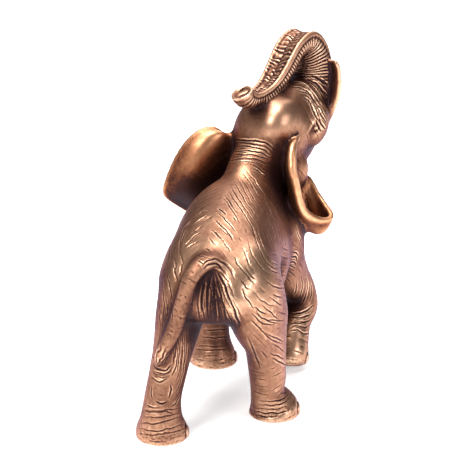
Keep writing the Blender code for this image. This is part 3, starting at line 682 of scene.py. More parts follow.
TRUNKBASE = [
    [(309.4,75.6),(316.4,77.6),(323.4,82),(328,87.4)], [(302.4,78.8),(309,80.2),(317,84.6),(324,91.6),(327.6,98)],
    [(311.5,81.2),(316.8,85),(322.2,91.2),(325.2,96.5)], [(306.1,82),(313,87.3),(318.3,93.5),(323.7,101.9)],
    [(291.6,83.5),(300,82.7),(307.6,87.3),(313,93.5),(319.1,101.1),(323.7,108)],
    [(291.6,87.3),(301.5,88.1),(308.4,92.7),(313.8,99.6),(319.1,107.2),(324.5,114.9),(327.5,121)],
    [(298.5,91.2),(306.1,92.7),(311.5,98),(315.3,104.9),(320.6,113.3),(326,122.5)],
    [(303.8,96.5),(308.4,101.1),(312.2,107.2),(315.3,114.9),(319.9,121.8)], [(316,119.5),(318.3,125.6),(321.4,131.7)],
    [(319.1,117.2),(321.4,123.3),(325.2,129.4)],
]
# deep crevice between tusk and trunk
CREVICES = [[(332.6,61),(332,70),(331.2,80),(330,90),(328,101),(326.6,108)]]
NOSTRILS = [[(238.6,90.6),(241,88.4),(243.6,86.8)], [(238.8,95.6),(243,92.6),(248,89.4)]]
# folds that fan down from under the root of the tail
CLEFT = [
    [(212.5,272),(209,282),(207.5,296),(207,312)], [(214,273),(213.4,288),(214.6,304),(216,322)],
    [(215.5,272.5),(218.4,286),(222.5,302),(227,320)], [(217,271.5),(223,282),(229,297),(235,313),(240,327)],
    [(210.5,271),(204,281),(202,296),(201.5,312)], [(204,270),(206.5,265.5),(211.5,263.6),(217,264.5),(222,268.5),(226,275)],
    [(202,266.5),(206,261.8),(212,259.8),(219,260.6),(226,265),(231.5,272),(235,281)],
]
# left hind leg: folds down its inner side, and rounds under the tip of the tail
SHIN = [
    [(187.4,334),(188.6,352),(187,370),(183,386),(176.5,399)], [(184,334),(185,352),(183.4,370),(179.4,385),(173,396)],
    [(180.6,336),(181.4,353),(179.6,370),(175,383)], [(177,341),(177.6,355),(175.8,367),(171.6,377)],
    [(190.2,334),(191.2,350),(190.4,364),(187.6,378)], [(174,350),(174,360),(171,368)],
    [(152.5,364.5),(158,369.6),(166,369.8),(171.4,365)], [(151.8,370.6),(158,375.4),(166,375),(172,370.6)],
    [(151,377),(157,381),(164,380.6),(169.6,377)], [(170.4,384),(171.2,391),(168.6,398.4)], [(151.6,386),(151.4,394),(153.4,399.6)],
    [(155,401.4),(161,403.2),(167.6,401.6)], [(146.4,405),(152,407.4),(160,408)], [(181.6,392),(176.4,401.6),(170.6,407)],
    [(144.2,410.4),(153.3,412.2),(163.3,411.4),(173.3,413.3)],
]


# ================================================================ 1. the cast skin, before carving
shapes = build_shapes()
names = [ob.name.split(".")[0] for ob in shapes]
skin = union(shapes, 1.0)
co = get_co(skin)
who, near = labels_and_seams(co, shapes, JOINT_BLEND)
seam = np.exp(-((near[:, 1] / JOINT_BLEND) ** 2))
edges = get_edges(skin)
firm = np.char.startswith(np.array(names)[who[:, 0]], "tusk") | (np.array(names)[who[:, 0]] == "web")
co = relax(co, edges, 0.5 * np.where(firm, 0.3 * np.maximum(seam, 0.03), np.maximum(seam, 0.05)), 54)
for ob in shapes:
    bpy.data.objects.remove(ob)

set_co(skin, co)
co = swell(co, get_normals(skin), ANATOMY)
set_co(skin, co)

# soles cut level with the floor
bm = bmesh.new()
bm.from_mesh(skin)
cut = bmesh.ops.bisect_plane(
    bm, geom=bm.verts[:] + bm.edges[:] + bm.faces[:], plane_co=(0, 0, 0), plane_no=(0, 0, 1), clear_inner=True)
bmesh.ops.holes_fill(bm, edges=[e for e in bm.edges if e.is_boundary], sides=0)
bmesh.ops.triangulate(bm, faces=[f for f in bm.faces if len(f.verts) > 4])
bm.to_mesh(skin)
bm.free()
coarse_kd = kd_of(co)

fine = remeshed(skin, 0.5)
co = get_co(fine)
edges = get_edges(fine)
sole = co[:, 2] < 0.35
co = relax(co, edges, 0.5, 4)
co[sole & (co[:, 2] < 0.6), 2] = 0.0
set_co(fine, co)
fine.shade_smooth() if hasattr(fine, "shade_smooth") else None
nrm = get_normals(fine)
count = len(co)
label = np.zeros(count, int)
rim_near = np.zeros(count)
for i in range(count):
    j = coarse_kd.find(co[i])[1]
    label[i] = who[j, 0]
    rim_near[i] = seam[j]
part = np.array(names)[label]
P = co - TO_ORIGIN                      # table frame
is_trunk = part == "trunk"
is_ear = np.char.startswith(part, "ear")
is_tusk = np.char.startswith(part, "tusk")
is_leg = np.isin(part, list(LEG_ROWS))
is_tail = part == "tail"
head_rel = P - HEAD_CENTRE
H = np.stack([head_rel @ RIGHT, head_rel @ FACE, head_rel @ CROWN], 1)     # head frame
base_tree = bvh_of(fine)
print("skin", count, "vertices")

# ================================================================ 2. relief from the sizes
disp = np.zeros(count)


def ease(x, lo, hi):
    t = np.clip((x - lo) / (hi - lo), 0, 1)
    return t * t * (3 - 2 * t)


# ---- trunk: two smooth rails, a ladder of ridges in the channel between them, ribs round the sides
ax_c, ax_a, ax_b, ax_r, ax_q, ax_t = trunk_axis(500)
ax_s = np.concatenate([[0], np.cumsum(np.linalg.norm(np.diff(ax_c, axis=0), axis=1))])
ax_kd = kd_of(ax_c)
idx = np.where(is_trunk)[0]
near_i = np.array([ax_kd.find(P[i])[1] for i in idx])
d = P[idx] - ax_c[near_i]
tx = (d * ax_r[near_i]).sum(1) / ax_a[near_i]
ty = (d * ax_q[near_i]).sum(1) / ax_b[near_i]
ts = ax_s[near_i]
tk = near_i / 499
ang = np.arctan2(ty, tx)
whole = ax_s[-1]
wob = np.array([noise.noise(Vector(P[i]) * 0.11) for i in idx])
wob2 = np.array([noise.noise(Vector(P[i]) * 0.3 + Vector((7, 3, 1))) for i in idx])
on = ease(tk, 0.16, 0.3) * (1 - ease(tk, 0.93, 0.975))
wid = ax_a[near_i]
rail = np.zeros(len(idx))
flank = np.zeros(len(idx))
for a0 in (math.radians(-38), math.radians(-142)):
    da = np.abs((ang - a0 + math.pi) % (2 * math.pi) - math.pi) * wid
    rail = np.maximum(rail, np.exp(-((da / 1.55) ** 4)))
    flank = np.maximum(flank, np.exp(-(((da - 2.5) / 0.6) ** 2)))
channel = ease(-ty, 0.2, 0.5) * (1 - ease(np.abs(tx), 0.8, 0.95)) * (1 - rail)
phase = ts / 2.7 + np.where(tx > 0, 0.5, 0.0) + 0.3 * np.abs(tx) + 1.1 * wob + 0.5 * wob2
ladder = np.cos(2 * math.pi * phase) * (0.7 + 1.6 * wob2)
mid_line = np.exp(-((tx / 0.1) ** 2)) * (0.7 + 0.8 * wob2)
sides = (1 - rail) * (1 - channel) * (0.3 + 0.7 * ease(ty, -0.6, 0.1)) * (1 + 0.6 * ease(tk, 0.5, 0.25))
rib_on = ease(tk, 0.13, 0.19) * (1 - ease(tk, 0.93, 0.975))
rib = np.abs(((ts / 2.05 + 0.35 * wob + 0.5) % 1.0) - 0.5) * 2.0          # 0 in the groove, 1 on the crest
rib = ease(rib, 0.0, 0.62) - 0.62
# where the trunk springs from the face the ribs give way to long folds
disp[idx] += on * (0.55 * rail - 0.3 * flank + channel * (0.26 * ladder - 0.28 * mid_line - 0.1)) + rib_on * sides * 0.6 * rib
rail_full = np.zeros(count)
rail_full[idx] = on * rail

# tip: a rim, and two nostrils either side of a septum
tip_c, tip_t, tip_r, tip_q = ax_c[-1], ax_t[-1], ax_r[-1], ax_q[-1]
dt = P - tip_c
tipx, tipy, tipt = dt @ tip_r / ax_a[-1], dt @ tip_q / ax_b[-1], dt @ tip_t
close = (np.abs(tipt) < 6) & (np.linalg.norm(dt, axis=1) < 12)
end_face = close & (nrm @ tip_t > 0.3)
dish = np.exp(-(((tipx / 0.78) ** 2 + (tipy / 0.78) ** 2) ** 3))
tip_pull = np.where(end_face, dish * 0.9, 0)[:, None] * -tip_t

# ---- ears: rolled rim, folds fanning from the root
ear_rim = np.zeros(count)
for name, e in EARS.items():
    g = ear_grid(e["root"], e["rim"], e["cup"], 72, 240)
    gk = kd_of(g.reshape(-1, 3))
    idx = np.where(part == name)[0]
    hit = np.array([gk.find(P[i])[1] for i in idx])
    u, v = hit // g.shape[1] / (g.shape[0] - 1), hit % g.shape[1] / (g.shape[1] - 1)
    w = np.array([noise.noise(Vector(P[i]) * 0.09) for i in idx])
    ear_rim[idx] = 1 - ease(1 - u, 0.05, 0.2)
    roll = 0.8 * (1 - ease(v, 0.45, 0.65)) if name == "ear_right" else 0.0 * v
    disp[idx] += roll * np.exp(-(((1 - u) / 0.24) ** 2))
    disp[idx] += (0.2 if name == "ear_right" else 0.5) * np.exp(-(((1 - u) / 0.1) ** 2)) - 0.1 * np.exp(-(((u - 0.78) / 0.1) ** 2))
    disp[idx] += 0.1 * np.cos(2 * math.pi * (13 * v + 0.9 * w)) * (1 - ease(u, 0.2, 0.55)) * (1 - rim_near[idx])

# ---- tail: nicks along it, strands in the tuft
idx = np.where(is_tail)[0]
tail_path = smooth_rows(TAIL, 300)[:, :3]
tail_s = np.concatenate([[0], np.cumsum(np.linalg.norm(np.diff(tail_path, axis=0), axis=1))])
tail_kd = kd_of(tail_path)
at = np.array([tail_kd.find(P[i])[1] for i in idx])
w = np.array([noise.noise(Vector(P[i]) * 0.35) for i in idx])
gone = tail_s[-1] - tail_s[at]
nick = np.abs(((tail_s[at] / 3.1 + 0.9 * w) % 1.0) - 0.5) * 2.0
away = P[idx] - tail_path[at]
side = np.arctan2(away[:, 1], away[:, 0])
disp[idx] -= 0.15 * (1 - ease(nick, 0.0, 0.5)) * ease(w, 0.05, 0.3) * ease(gone, 10, 16) * ease(tail_s[at], 16, 24)
disp[idx] += 0.25 * np.cos(8 * side + 3 * w) * (1 - ease(gone, 9, 17))

# ---- feet: toenails and a lip at the sole
FEET = {"hind_left": (-26.5, -62, 5), "hind_right": (26.6, -16, 3), "fore_left": (-29, 45, 0), "fore_right": (19.6, 46.5, 3)}
for name, (fx, fy, turn) in FEET.items():
    idx = np.where(part == name)[0]
    lift = 0.0 if name != "fore_right" else 3.6
    q = P[idx] - (fx, fy, lift)
    a = np.degrees(np.arctan2(q[:, 0], q[:, 1])) - turn
    z = q[:, 2]
    outline = np.zeros(len(idx))
    for k, a0 in enumerate((-72, -36, 0, 36, 72)):
        da = (a - a0 + 180) % 360 - 180
        r = np.sqrt((da / 15.5) ** 2 + ((z - 3.4) / 3.5) ** 2)
        r = np.where(z < 3.4, np.maximum(np.abs(da) / 15.5, 0), r)
        inside = (r < 1.35) & (z < 8.5)
        outline += np.where(inside, 0.62 * np.exp(-((r / 0.86) ** 8)) - 0.35 * np.exp(-(((r - 1.1) / 0.14) ** 2)), 0)
    disp[idx] += outline * ease(z, -0.5, 0.8)
    pits = np.array([noise.noise(Vector(P[i]) * 0.9) for i in idx])
    disp[idx] += 0.2 * np.minimum(pits, 0.1) * (1 - ease(z, 5, 11)) * ease(z, 0.4, 1.2)

# ---- face: eyes, brow, temple, mouth
def blob(p, c, r):
    return np.exp(-((((p - c) / r) ** 2).sum(1)))


face_pull = np.zeros(count)
for s in (1, -1):
    eye = np.array([s * 20.5, 8.6, -6.4])
    face_pull -= 1.5 * blob(H, eye, (9, 4.4, 2.9))
    face_pull += 1.6 * blob(H, eye + (0, 0.2, 0), (9, 1.9, 1.3))
    face_pull += 0.7 * blob(H, eye + (0, -0.6, 3.3), (9, 4.4, 1.2))
    face_pull += 0.5 * blob(H, eye + (0, 0.2, -3.1), (9, 3.9, 1.1))
    face_pull -= 1.3 * blob(H, np.array([s * 20, -6, 3]), (9, 7, 6))
near_face = ~(is_ear | is_trunk | is_tusk)
disp += np.where(near_face, face_pull, 0)

# ================================================================ 3. carving
carver = Carver(co, nrm, base_tree)

hand = np.random.default_rng(7)
for group, depth, width, puff in (
    (RUMP, 0.42, 0.38, 0.3), (LEGS, 0.38, 0.42, 0.25), (SHIN, 0.4, 0.45, 0.3), (NECK, 0.55, 0.52, 0.45), (BACK, 0.4, 0.38, 0.5),
    (FORE, 0.55, 0.5, 0.5), (KNEE, 0.45, 0.48, 0.35), (TRUNKBASE, 0.95, 0.7, 0.6), (CLEFT, 0.75, 0.6, 0.35),
    (CREVICES, 1.3, 0.9, 0.0), (NOSTRILS, 2.6, 0.9, 0.0),
):
    for line in group:
        for run in project_stroke(carver, line):
            carver.stroke(run, depth * hand.uniform(0.6, 1.15), width * hand.uniform(0.85, 1.15), True, hand.uniform(0.25, 0.5), puff)
print("view strokes", len(carver.guides))
view_guides = list(carver.guides)

# directions that the skin folds follow where the view shows none: x, y, z, dx, dy, dz (figure tables, mm)
FLOW = [
    # left flank: from the spine down and back
    (-20, -50, 104, -0.8, 0.3, -0.9), (-32, -30, 92, -0.3, 0.6, -1), (-36, -8, 88, -0.2, 0.6, -1), (-38, 14, 88, -0.1, 0.3, -1),
    (-34, 34, 92, 0, 0, -1), (-34, -34, 74, 0, 0.7, -1), (-30, -12, 66, 0.3, 1, -0.5), (-33, 14, 64, 0.2, 1, -0.2),
    (-28, 52, 88, 0.2, 0.3, -1), (-24, 62, 80, 0.3, 0.3, -1), (-12, -4, 124, -1, 0.1, -0.2), (-14, 26, 128, -1, 0.1, -0.4),
    # right flank, shoulder and chest
    (28, 20, 84, 0.1, 0.3, -1), (26, 44, 90, 0.1, 0.2, -1), (16, 62, 84, 0.3, 0.5, -1), (0, 68, 90, 1, 0, -0.1),
    (0, 60, 72, 1, 0.2, 0), (26, 2, 62, 0.2, 1, -0.2),
    # underside: bands across the belly
    (0, -30, 58, 1, 0, 0), (0, 0, 54, 1, 0, 0), (0, 30, 54, 1, 0, 0), (-18, 4, 57, 1, 0.2, 0), (16, 4, 57, 1, 0.2, 0),
    # inner thighs
    (4, -44, 62, 0.1, 0.3, -1), (-4, -44, 62, -0.1, 0.3, -1),
    # neck, rings
    (-18, 48, 122, 0.1, 0.9, -0.9), (18, 48, 122, 0.1, 0.9, -0.9), (0, 72, 118, 1, 0, 0), (8, 74, 126, 1, 0, 0),
]
# rings round the lower legs: for each leg, from this height down
RINGS = {"hind_left": 40, "hind_right": 42, "fore_left": 46, "fore_right": 40}
guides = [(g[0], g[1], g[2], g[3], g[4], g[5], 1.0) for g in view_guides]
for g in view_guides:                      # the other side is carved as a mirror of this one
    x, y, z = np.array(g[:3]) - TO_ORIGIN
    if abs(x) > 6 and y < 40 and z > 45:
        m = np.array([-x, y, z]) + TO_ORIGIN
        guides.append((*m, -g[3], g[4], g[5], 0.6))
for g in FLOW:
    d = np.array(g[3:]) / np.linalg.norm(g[3:])
    guides.append((*(np.array(g[:3]) + TO_ORIGIN), *d, 1.6))
leg_axes = {n: smooth_rows(rows, 60)[:, :3] + TO_ORIGIN for n, rows in LEG_ROWS.items()}
guides = np.array(guides)
guide_kd = kd_of(guides[:, :3])


def flow_at(q, n, region):
    if region in RINGS and q[2] < RINGS[region] + 8:
        ax = leg_axes[region]
        k = int(np.argmin(np.abs(ax[:, 2] - q[2])))
        t = ax[min(k + 1, 59)] - ax[max(k - 1, 0)]
        ring = np.cross(t / (np.linalg.norm(t) + 1e-9), n)
        if q[2] < RINGS[region] or np.linalg.norm(ring) < 0.2:
            return ring / (np.linalg.norm(ring) + 1e-9)
    T = np.zeros((3, 3))
    for c, i, dist in guide_kd.find_n(Vector(q), 14):
        g = guides[i]
        v = g[3:6] - (g[3:6] @ n) * n
        w = g[6] / (1 + (dist / 7.0) ** 2) ** 2
        T += w * np.outer(v, v)
    val, vec = np.linalg.eigh(T)
    d = vec[:, 2] - (vec[:, 2] @ n) * n
    return d / (np.linalg.norm(d) + 1e-9)


def trace(q, n, region, length, sign, gap, dir0):
    out, last, total = [], sign * dir0, 0.0
    p, nn = q, n
    while total < length:
        d = flow_at(p, nn, region)
        if d @ last < 0:
            d = -d
        d = 0.6 * d + 0.4 * last
        p2, n2 = carver.snap(p + d / np.linalg.norm(d) * 0.9)
        if p2 is None or np.linalg.norm(p2 - p) < 0.3 or n2 @ nn < 0.55 or p2[2] < 1.2:
            break
        if carver.crowded(p2, gap):
            break
        last = (p2 - p) / np.linalg.norm(p2 - p)
        total += np.linalg.norm(p2 - p)
        p, nn = p2, n2
        out.append(p)
    return out


rng = np.random.default_rng(41)
smooth_parts = ["dome_right", "dome_left", "sheath_right", "sheath_left", "web"]
carvable = ~(is_ear | is_tusk | is_trunk | is_tail) & ~np.isin(part, smooth_parts)
carvable &= ~((part == "cranium") & (H[:, 2] > -6))
carvable &= ~((part == "brow") & (H[:, 2] > -2))
carvable &= P[:, 2] > 1.5
seeds = rng.permutation(np.where(carvable)[0])[: 22000]
made = 0
for i in seeds:
    q = co[i]
    # sparse and faint on the rump, the back and the shins, closer round the feet and on the far side
    low = part[i] in RINGS and q[2] < RINGS[part[i]] + 6
    foot = low and q[2] < 19
    facing = nrm[i] @ BACKWARD > 0.05
    gap = 2.5 if foot else (3.4 if low else (3.3 if facing else 2.8))
    gap += 1.4 * (noise.noise(Vector(q) * 0.035) + 0.5)
    if carver.crowded(q, gap):
        continue
    d0 = flow_at(q, nrm[i], part[i])
    if not np.isfinite(d0).all():
        continue
    size = rng.uniform(5, 16) if low else (rng.uniform(12, 40) if facing else rng.uniform(9, 30))
    a = trace(q, nrm[i], part[i], size / 2, 1.0, gap * 0.72, d0)
    b = trace(q, nrm[i], part[i], size / 2, -1.0, gap * 0.72, d0)
    path = b[::-1] + [q] + a
    if len(path) > 4:
        deep = rng.uniform(0.12, 0.3) if low else (rng.uniform(0.1, 0.24) if facing else rng.uniform(0.2, 0.4))
        carver.stroke(path, deep, rng.uniform(0.36, 0.48), guide=False, taper=0.45)
        made += 1
print("skin strokes", made)

carved = carver.relief()
height = disp + carved
new = co + nrm * height[:, None] + tip_pull
low = new[:, 2] < 0.02
new[low, 2] = 0.0
flat = sole & (co[:, 2] < 0.01)
new[flat] = co[flat]
set_co(fine, new)
co2 = relax(new, edges, 0.18, 1)
co2[flat] = new[flat]
set_co(fine, co2)

# ================================================================ 4. thin out, and keep what the finish needs to know
def cavity_of(p, n, e, rounds):
    """How far each point stands above the mean of its surroundings, along the normal, in mm."""
    m = relax(p, e, 1.0, rounds)
    return ((p - m) * n).sum(1)


n2 = get_normals(fine)
fine_cav = cavity_of(co2, n2, edges, 3)
broad_cav = cavity_of(co2, n2, edges, 30)
carve_kd = kd_of(co2)


def shelter_of(points, normals, tree, rays, reach):
    """How closed in each point is: the share of rays, thickest around the normal, that meet the skin again."""
    golden = math.pi * (3 - math.sqrt(5))
    k = np.arange(rays)
    zz = np.sqrt(1 - (k + 0.5) / rays)
    fan = np.stack([np.sqrt(1 - zz**2) * np.cos(golden * k), np.sqrt(1 - zz**2) * np.sin(golden * k), zz], 1)
    out = np.zeros(len(points))
    for i, (p, n) in enumerate(zip(points, normals)):
        a = np.cross(n, (0.3, 0.5, 0.81))
        a /= np.linalg.norm(a) + 1e-9
        b = np.cross(n, a)
        dirs = fan @ np.stack([a, b, n])
        start = Vector((p + 0.5 * n) * MM)
        shut = 0.0
        # each ray that meets the skin, and in part each ray that leaves downwards, counts towards the painted shade
        for d in dirs:
            hit = tree.ray_cast(start, Vector(d), reach * MM)
            if hit[0] is not None:
                shut += 1.0 - 0.6 * hit[3] / (reach * MM)
            elif d[2] < -0.2:
                shut += 0.35
        out[i] = shut / rays
    return out


# painted shade for enclosed places and undersides, worked out on the smooth skin, at a part of its points, then spread
probe = np.arange(0, count, 8)
closed = shelter_of(co[probe], nrm[probe], base_tree, 28, 60.0)
# the painted shade is weakened on the ears and the cranium
closed *= np.where(part[probe] == "ear_right", 0.25, 1.0) * np.where(part[probe] == "ear_left", 0.45, np.where(part[probe] == "cranium", 0.7, 1.0))
# darker spots, partly patina left standing in the deepest places and partly painted shade; negative amounts are painted
# highlights: x, y, z, radius, amount (figure tables, mm)
PATINA_AND_PAINTED_LIGHT = [
    (5, -66, 97, 6.5, 0.3), (5.5, -66, 88, 7, 0.22), (7, -64, 78, 8, 0.18), (1, -62, 73, 7, 0.3), (12, -60, 72, 7, 0.26),
    (-7, -56, 60, 6, 0.2), (-18.7, -47.7, 106.5, 8, 0.1), (-24, -56, 92, 8, 0.16), (-27, -48, 80, 10, 0.16), (-32, -30, 92, 10, 0.1),
    # painted shade in the notch of flank, thigh and elbow; back of the knee; neck behind the right ear; left ear, low
    # and towards the neck
    (27, 3, 85, 3.5, 0.1), (26.5, 9, 87, 4.5, 0.1), (25.5, 22, 87, 5, 0.14), (18, 50, 74, 7, 0.1), (-28, 46, 22, 22, 0.04), (17.7, 60.3, 36.3, 7, 0.25), (16, 22, 118, 8, 0.12), (14, 41, 123, 9, 0.2),
    (-44.8, 42, 106, 12, 0.3), (-33, 45, 110, 12, 0.28), (-43.7, 48, 99, 8, 0.2), (-24, 52, 124, 10, 0.2), (-44, 39, 117, 8, 0.3),
    # painted shade keeps the left thigh, shin and foot darker; painted highlights brighten the right rump, elbow, knee
    # and far fore leg
    (-22, -66, 75, 10, 0.2), (-26, -55, 88, 10, 0.1), (-21, -70, 34, 13, 0.12), (-22, -73, 12, 14, 0.14), (27, -52, 94, 11, -0.16),
    (26, 45, 19, 12, -0.22), (24, 54, 52, 10, -0.14), (-25, 36, 14, 12, 0.05), (4, -62, 84, 9, 0.1), (38, 56, 98, 7, 0.12),
]
for x, y, z, r, amount in PATINA_AND_PAINTED_LIGHT:
    closed += amount * np.exp(-((P[probe] - (x, y, z)) ** 2).sum(1) / (r * r))
probe_kd = kd_of(co[probe])

work = bpy.data.objects.new("work", fine)
bpy.context.scene.collection.objects.link(work)
mod = work.modifiers.new("thin_out", "DECIMATE")
LIMIT = 192000
mod.ratio = min(1.0, LIMIT / (2.0 * len(fine.polygons)))
mod.use_collapse_triangulate = True
bpy.context.view_layer.update()
final = bpy.data.meshes.new_from_object(work.evaluated_get(bpy.context.evaluated_depsgraph_get()))
bpy.data.objects.remove(work)

# loose bits left by thin folds are dropped
bm = bmesh.new()
bm.from_mesh(final)
bm.verts.ensure_lookup_table()
island = np.full(len(bm.verts), -1)
for v in bm.verts:
    if island[v.index] >= 0:
        continue
    stack = [v]
    island[v.index] = v.index
    while stack:
        for ed in stack.pop().link_edges:
            for o in ed.verts:
                if island[o.index] < 0:
                    island[o.index] = v.index
                    stack.append(o)
biggest = np.bincount(island).argmax()
loose = [v for v in bm.verts if island[v.index] != biggest]
if loose:
    bmesh.ops.delete(bm, geom=loose, context="VERTS")
bm.to_mesh(final)
bm.free()

elephant = bpy.data.objects.new("elephant_cast", final)
final.name = "elephant_cast"
bpy.context.scene.collection.objects.link(elephant)
pf = get_co(final)
vals = np.zeros((len(pf), 5))
warm_part = relax(is_ear * 0.75 + is_tusk * 0.3 + np.isin(part, ["neck", "throat"]) * 0.2, edges, 0.8, 12)
# this attribute lowers the roughness and also shifts the colour: painted highlights on the ears, domes and crown,
# painted shade on the trunk, its rails, the ear rims and the tail
polish_and_light_part = (is_tusk * 0.4 + (part == "ear_left") * 0.35 + (part == "ear_right") * 0.7 - is_trunk * 0.6 - 1.5 * rail_full - 1.7 * ear_rim - is_tail * 1.4 + np.isin(part, ["dome_right", "dome_left"]) * 0.45 + ((part == "cranium") & (H[:, 2] > 0)) * 0.4)
polish_and_light_part = relax(polish_and_light_part, edges, 0.8, 8)
# painted highlight on the rump, painted shade at the back of the skull, the nape and under the tail: x, y, z, radius,
# amount
PAINTED_LIGHT_SPOTS = [(24, -53, 96, 16, 1.1), (-10, -52, 106, 11, 0.6), (-12, 48, 153, 10, -1.5), (-2, 42, 138, 11, -0.7), (5, -64, 86, 9, -0.7),
           (-25, 36, 14, 11, -0.6), (26, 45, 17, 10, 0.8)]
for x, y, z, r, amount in PAINTED_LIGHT_SPOTS:
    polish_and_light_part = polish_and_light_part + amount * np.exp(-((P - (x, y, z)) ** 2).sum(1) / (r * r))
for i, p in enumerate(pf):
    j = carve_kd.find(p)[1]
    shut = reach = 0.0
    for c, m, dist in probe_kd.find_n(p, 5):
        w = 1.0 / (dist + 0.5) ** 2
        shut += w * closed[m]
        reach += w
    vals[i] = fine_cav[j], broad_cav[j], polish_and_light_part[j], shut / reach, warm_part[j]
TONES = ("relief", "broad", "polish", "shelter", "warm")
for name in TONES:
    final.attributes.new(name, "FLOAT", "POINT")
for k, name in enumerate(TONES):
    final.attributes[name].data.foreach_set("value", np.ascontiguousarray(vals[:, k], dtype=np.float32))
print("shelter", np.percentile(vals[:, 3], [2, 25, 50, 75, 98]).round(3))
print("final", len(pf), "vertices", len(final.polygons), "triangles", "relief", np.percentile(vals[:, 0], [2, 25, 50, 75, 98]).round(3),
      "broad", np.percentile(vals[:, 1], [2, 25, 50, 75, 98]).round(3))
final.shade_smooth()


# ================================================================ 5. the finish
def node(nt, kind, x=0, y=0, **sockets):
    nd = nt.nodes.new(kind)
    nd.location = (x, y)
    for k, v in sockets.items():
        nd.inputs[k.replace("_", " ")].default_value = v
    return nd


def ramp(nt, stops, x=0, y=0):
    nd = nt.nodes.new("ShaderNodeValToRGB")
    nd.location = (x, y)
    el = nd.color_ramp.elements
    while len(el) < len(stops):
        el.new(0.5)
    for e, (pos, col) in zip(el, stops):
        e.position = pos
        e.color = (*col, 1) if len(col) == 3 else col
    return nd


def rng_map(nt, src, lo, hi, a=0.0, b=1.0, x=0, y=0):
    nd = nt.nodes.new("ShaderNodeMapRange")
    nd.location = (x, y)
    nd.inputs["From Min"].default_value = lo
    nd.inputs["From Max"].default_value = hi
    nd.inputs["To Min"].default_value = a
    nd.inputs["To Max"].default_value = b
    nt.links.new(src, nd.inputs["Value"])
    return nd.outputs["Result"]


def math_node(nt, op, a, b, x=0, y=0):
    nd = nt.nodes.new("ShaderNodeMath")
    nd.operation = op
    nd.location = (x, y)
    for i, s in enumerate((a, b)):
        if isinstance(s, (int, float)):
            nd.inputs[i].default_value = s
        else:
            nt.links.new(s, nd.inputs[i])
    return nd.outputs[0]


def copper_bronze():
    mat = bpy.data.materials.new("antique_copper_bronze")
    mat.use_nodes = True
    nt = mat.node_tree
    bsdf = nt.nodes["Principled BSDF"]
    bsdf.location = (900, 0)
    att = {}
    for name, y in (("relief", 300), ("broad", 100), ("polish", -100), ("shelter", 500), ("warm", 700)):
        a = nt.nodes.new("ShaderNodeAttribute")
        a.attribute_name = name
        a.location = (-900, y)
        att[name] = a.outputs["Fac"]
    tc = nt.nodes.new("ShaderNodeTexCoord")
    tc.location = (-1200, -300)
    obj = tc.outputs["Object"]

    def noise_tex(scale, detail, rough, y):
        nd = node(nt, "ShaderNodeTexNoise", -900, y, Scale=scale, Detail=detail, Roughness=rough)
        nt.links.new(obj, nd.inputs["Vector"])
        return nd.outputs["Fac"]

    blotch = noise_tex(38, 3, 0.55, -300)
    grain = noise_tex(420, 4, 0.62, -500)
    speck = noise_tex(1500, 2, 0.5, -700)

    # how light the colour is: worn bright on ridges and swellings, patina low in cuts and folds, plus painted shade in
    # enclosed places and undersides, and painted highlights and shade laid on part by part
    r = rng_map(nt, att["relief"], -0.2, 0.16, 0.0, 1.0, -600, 300)
    b = rng_map(nt, att["broad"], -0.6, 0.5, -0.28, 0.22, -600, 100)
    wear_and_painted_light = math_node(nt, "ADD", r, b, -400, 200)
    # painted shade in enclosed places and undersides
    wear_and_painted_light = math_node(nt, "SUBTRACT", wear_and_painted_light, rng_map(nt, att["shelter"], 0.12, 0.55, 0.0, 0.55, -600, 500), -330, 150)
    wear_and_painted_light = math_node(nt, "ADD", wear_and_painted_light, rng_map(nt, blotch, 0.3, 0.7, -0.07, 0.07, -600, -300), -250, 100)
    wear_and_painted_light = math_node(nt, "ADD", wear_and_painted_light, rng_map(nt, grain, 0.3, 0.7, -0.06, 0.06, -600, -500), -100, 50)
    # painted highlights and painted shade laid on part by part and spot by spot
    wear_and_painted_light = math_node(nt, "ADD", wear_and_painted_light, math_node(nt, "MULTIPLY", att["polish"], 0.16, -400, -100), 0, 0)
    colour = ramp(nt, [
        (0.0, (0.02, 0.0065, 0.0045)), (0.2, (0.051, 0.0185, 0.012)), (0.4, (0.16, 0.069, 0.043)),
        (0.6, (0.345, 0.176, 0.108)), (0.8, (0.54, 0.31, 0.197)), (1.0, (0.78, 0.512, 0.35))], 200, 200)
    nt.links.new(wear_and_painted_light, colour.inputs["Fac"])
    # the smooth ears keep a warmer, more orange lacquer
    tint = nt.nodes.new("ShaderNodeMix")
    tint.data_type = "RGBA"
    tint.blend_type = "MULTIPLY"
    tint.location = (600, 300)
    tint.inputs[7].default_value = (1.0, 0.78, 0.56, 1)
    nt.links.new(att["warm"], tint.inputs[0])
    nt.links.new(colour.outputs["Color"], tint.inputs[6])
    nt.links.new(tint.outputs[2], bsdf.inputs["Base Color"])
    metal = rng_map(nt, wear_and_painted_light, 0.05, 0.45, 0.5, 1.0, 200, 0)
    nt.links.new(metal, bsdf.inputs["Metallic"])
    rough = rng_map(nt, wear_and_painted_light, 0.15, 0.95, 0.54, 0.37, 200, -200)
    rough = math_node(nt, "ADD", rough, rng_map(nt, speck, 0.3, 0.7, -0.04, 0.04, 200, -350), 400, -250)
    rough = math_node(nt, "SUBTRACT", rough, math_node(nt, "MULTIPLY", att["polish"], 0.07, 400, -350), 500, -300)
    nt.links.new(rough, bsdf.inputs["Roughness"])
    bump = node(nt, "ShaderNodeBump", 600, -400, Strength=0.18, Distance=0.0003)
    h = math_node(nt, "ADD", math_node(nt, "MULTIPLY", grain, 0.7, 200, -450), math_node(nt, "MULTIPLY", speck, 0.3, 200, -600), 400, -450)
    nt.links.new(h, bump.inputs["Height"])
    nt.links.new(bump.outputs["Normal"], bsdf.inputs["Normal"])
    # greyish lilac bloom where the surface is seen edge on
    bsdf.inputs["Specular Tint"].default_value = (0.52, 0.47, 0.64, 1)
    return mat


final.materials.clear()
final.materials.append(copper_bronze())
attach(elephant, "root")
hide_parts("elephant")

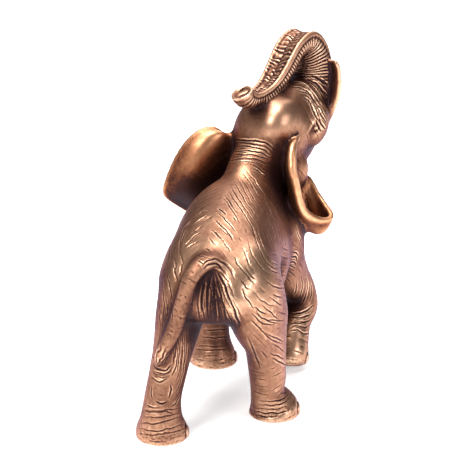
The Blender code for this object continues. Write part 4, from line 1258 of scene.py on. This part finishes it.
# ================================================================ 6. studio: pale floor, soft lights, the view
bm = bmesh.new()
bmesh.ops.create_grid(bm, x_segments=2, y_segments=2, size=6.0)
fm = bpy.data.meshes.new("floor")
bm.to_mesh(fm)
bm.free()
floor = bpy.data.objects.new("floor", fm)
bpy.context.scene.collection.objects.link(floor)
pale = bpy.data.materials.new("pale_floor")
pale.use_nodes = True
pb = pale.node_tree.nodes["Principled BSDF"]
pb.inputs["Base Color"].default_value = (0.9, 0.9, 0.9, 1)
pb.inputs["Roughness"].default_value = 0.75
pb.inputs["Emission Color"].default_value = (1, 1, 1, 1)
pb.inputs["Emission Strength"].default_value = 0.5
fm.materials.append(pale)


def aim(ob, target):
    ob.rotation_euler = (Vector(target) - ob.location).to_track_quat("-Z", "Y").to_euler()


def area(name, place, target, size, watts, colour=(1, 1, 1), size_y=None):
    ld = bpy.data.lights.new(name, "AREA")
    ld.energy = watts
    ld.color = colour
    ld.size = size
    if size_y:
        ld.shape = "RECTANGLE"
        ld.size_y = size_y
    ob = bpy.data.objects.new(name, ld)
    ob.location = place
    bpy.context.scene.collection.objects.link(ob)
    aim(ob, target)
    return ob


mid = tuple(AIM * MM)
area("overhead", (-0.2, -0.3, 1.9), mid, 1.2, 52)
area("key", (-0.45, -1.5, 1.25), mid, 0.45, 21)
area("fill", (1.3, -0.5, 0.6), mid, 0.5, 7, (0.93, 0.94, 1.0))
area("floor_glow", (0.0, 2.4, 2.6), (0, 1.6, 0), 2.4, 60)
world = bpy.data.worlds.new("studio")
bpy.context.scene.world = world
world.use_nodes = True
world.node_tree.nodes["Background"].inputs["Color"].default_value = (1, 1, 1, 1)
world.node_tree.nodes["Background"].inputs["Strength"].default_value = 0.16
bpy.context.scene.view_settings.view_transform = "Standard"

cam = bpy.data.cameras.new("camera")
cam.sensor_width = 36.0
cam.lens = FOCAL_PX / FRAME_PX * 36.0
cam.clip_end = 20.0
camera = bpy.data.objects.new("camera", cam)
camera.location = EYE * MM
camera.rotation_euler = Vector(-BACKWARD).to_track_quat("-Z", "Y").to_euler()
bpy.context.scene.collection.objects.link(camera)
bpy.context.scene.camera = camera
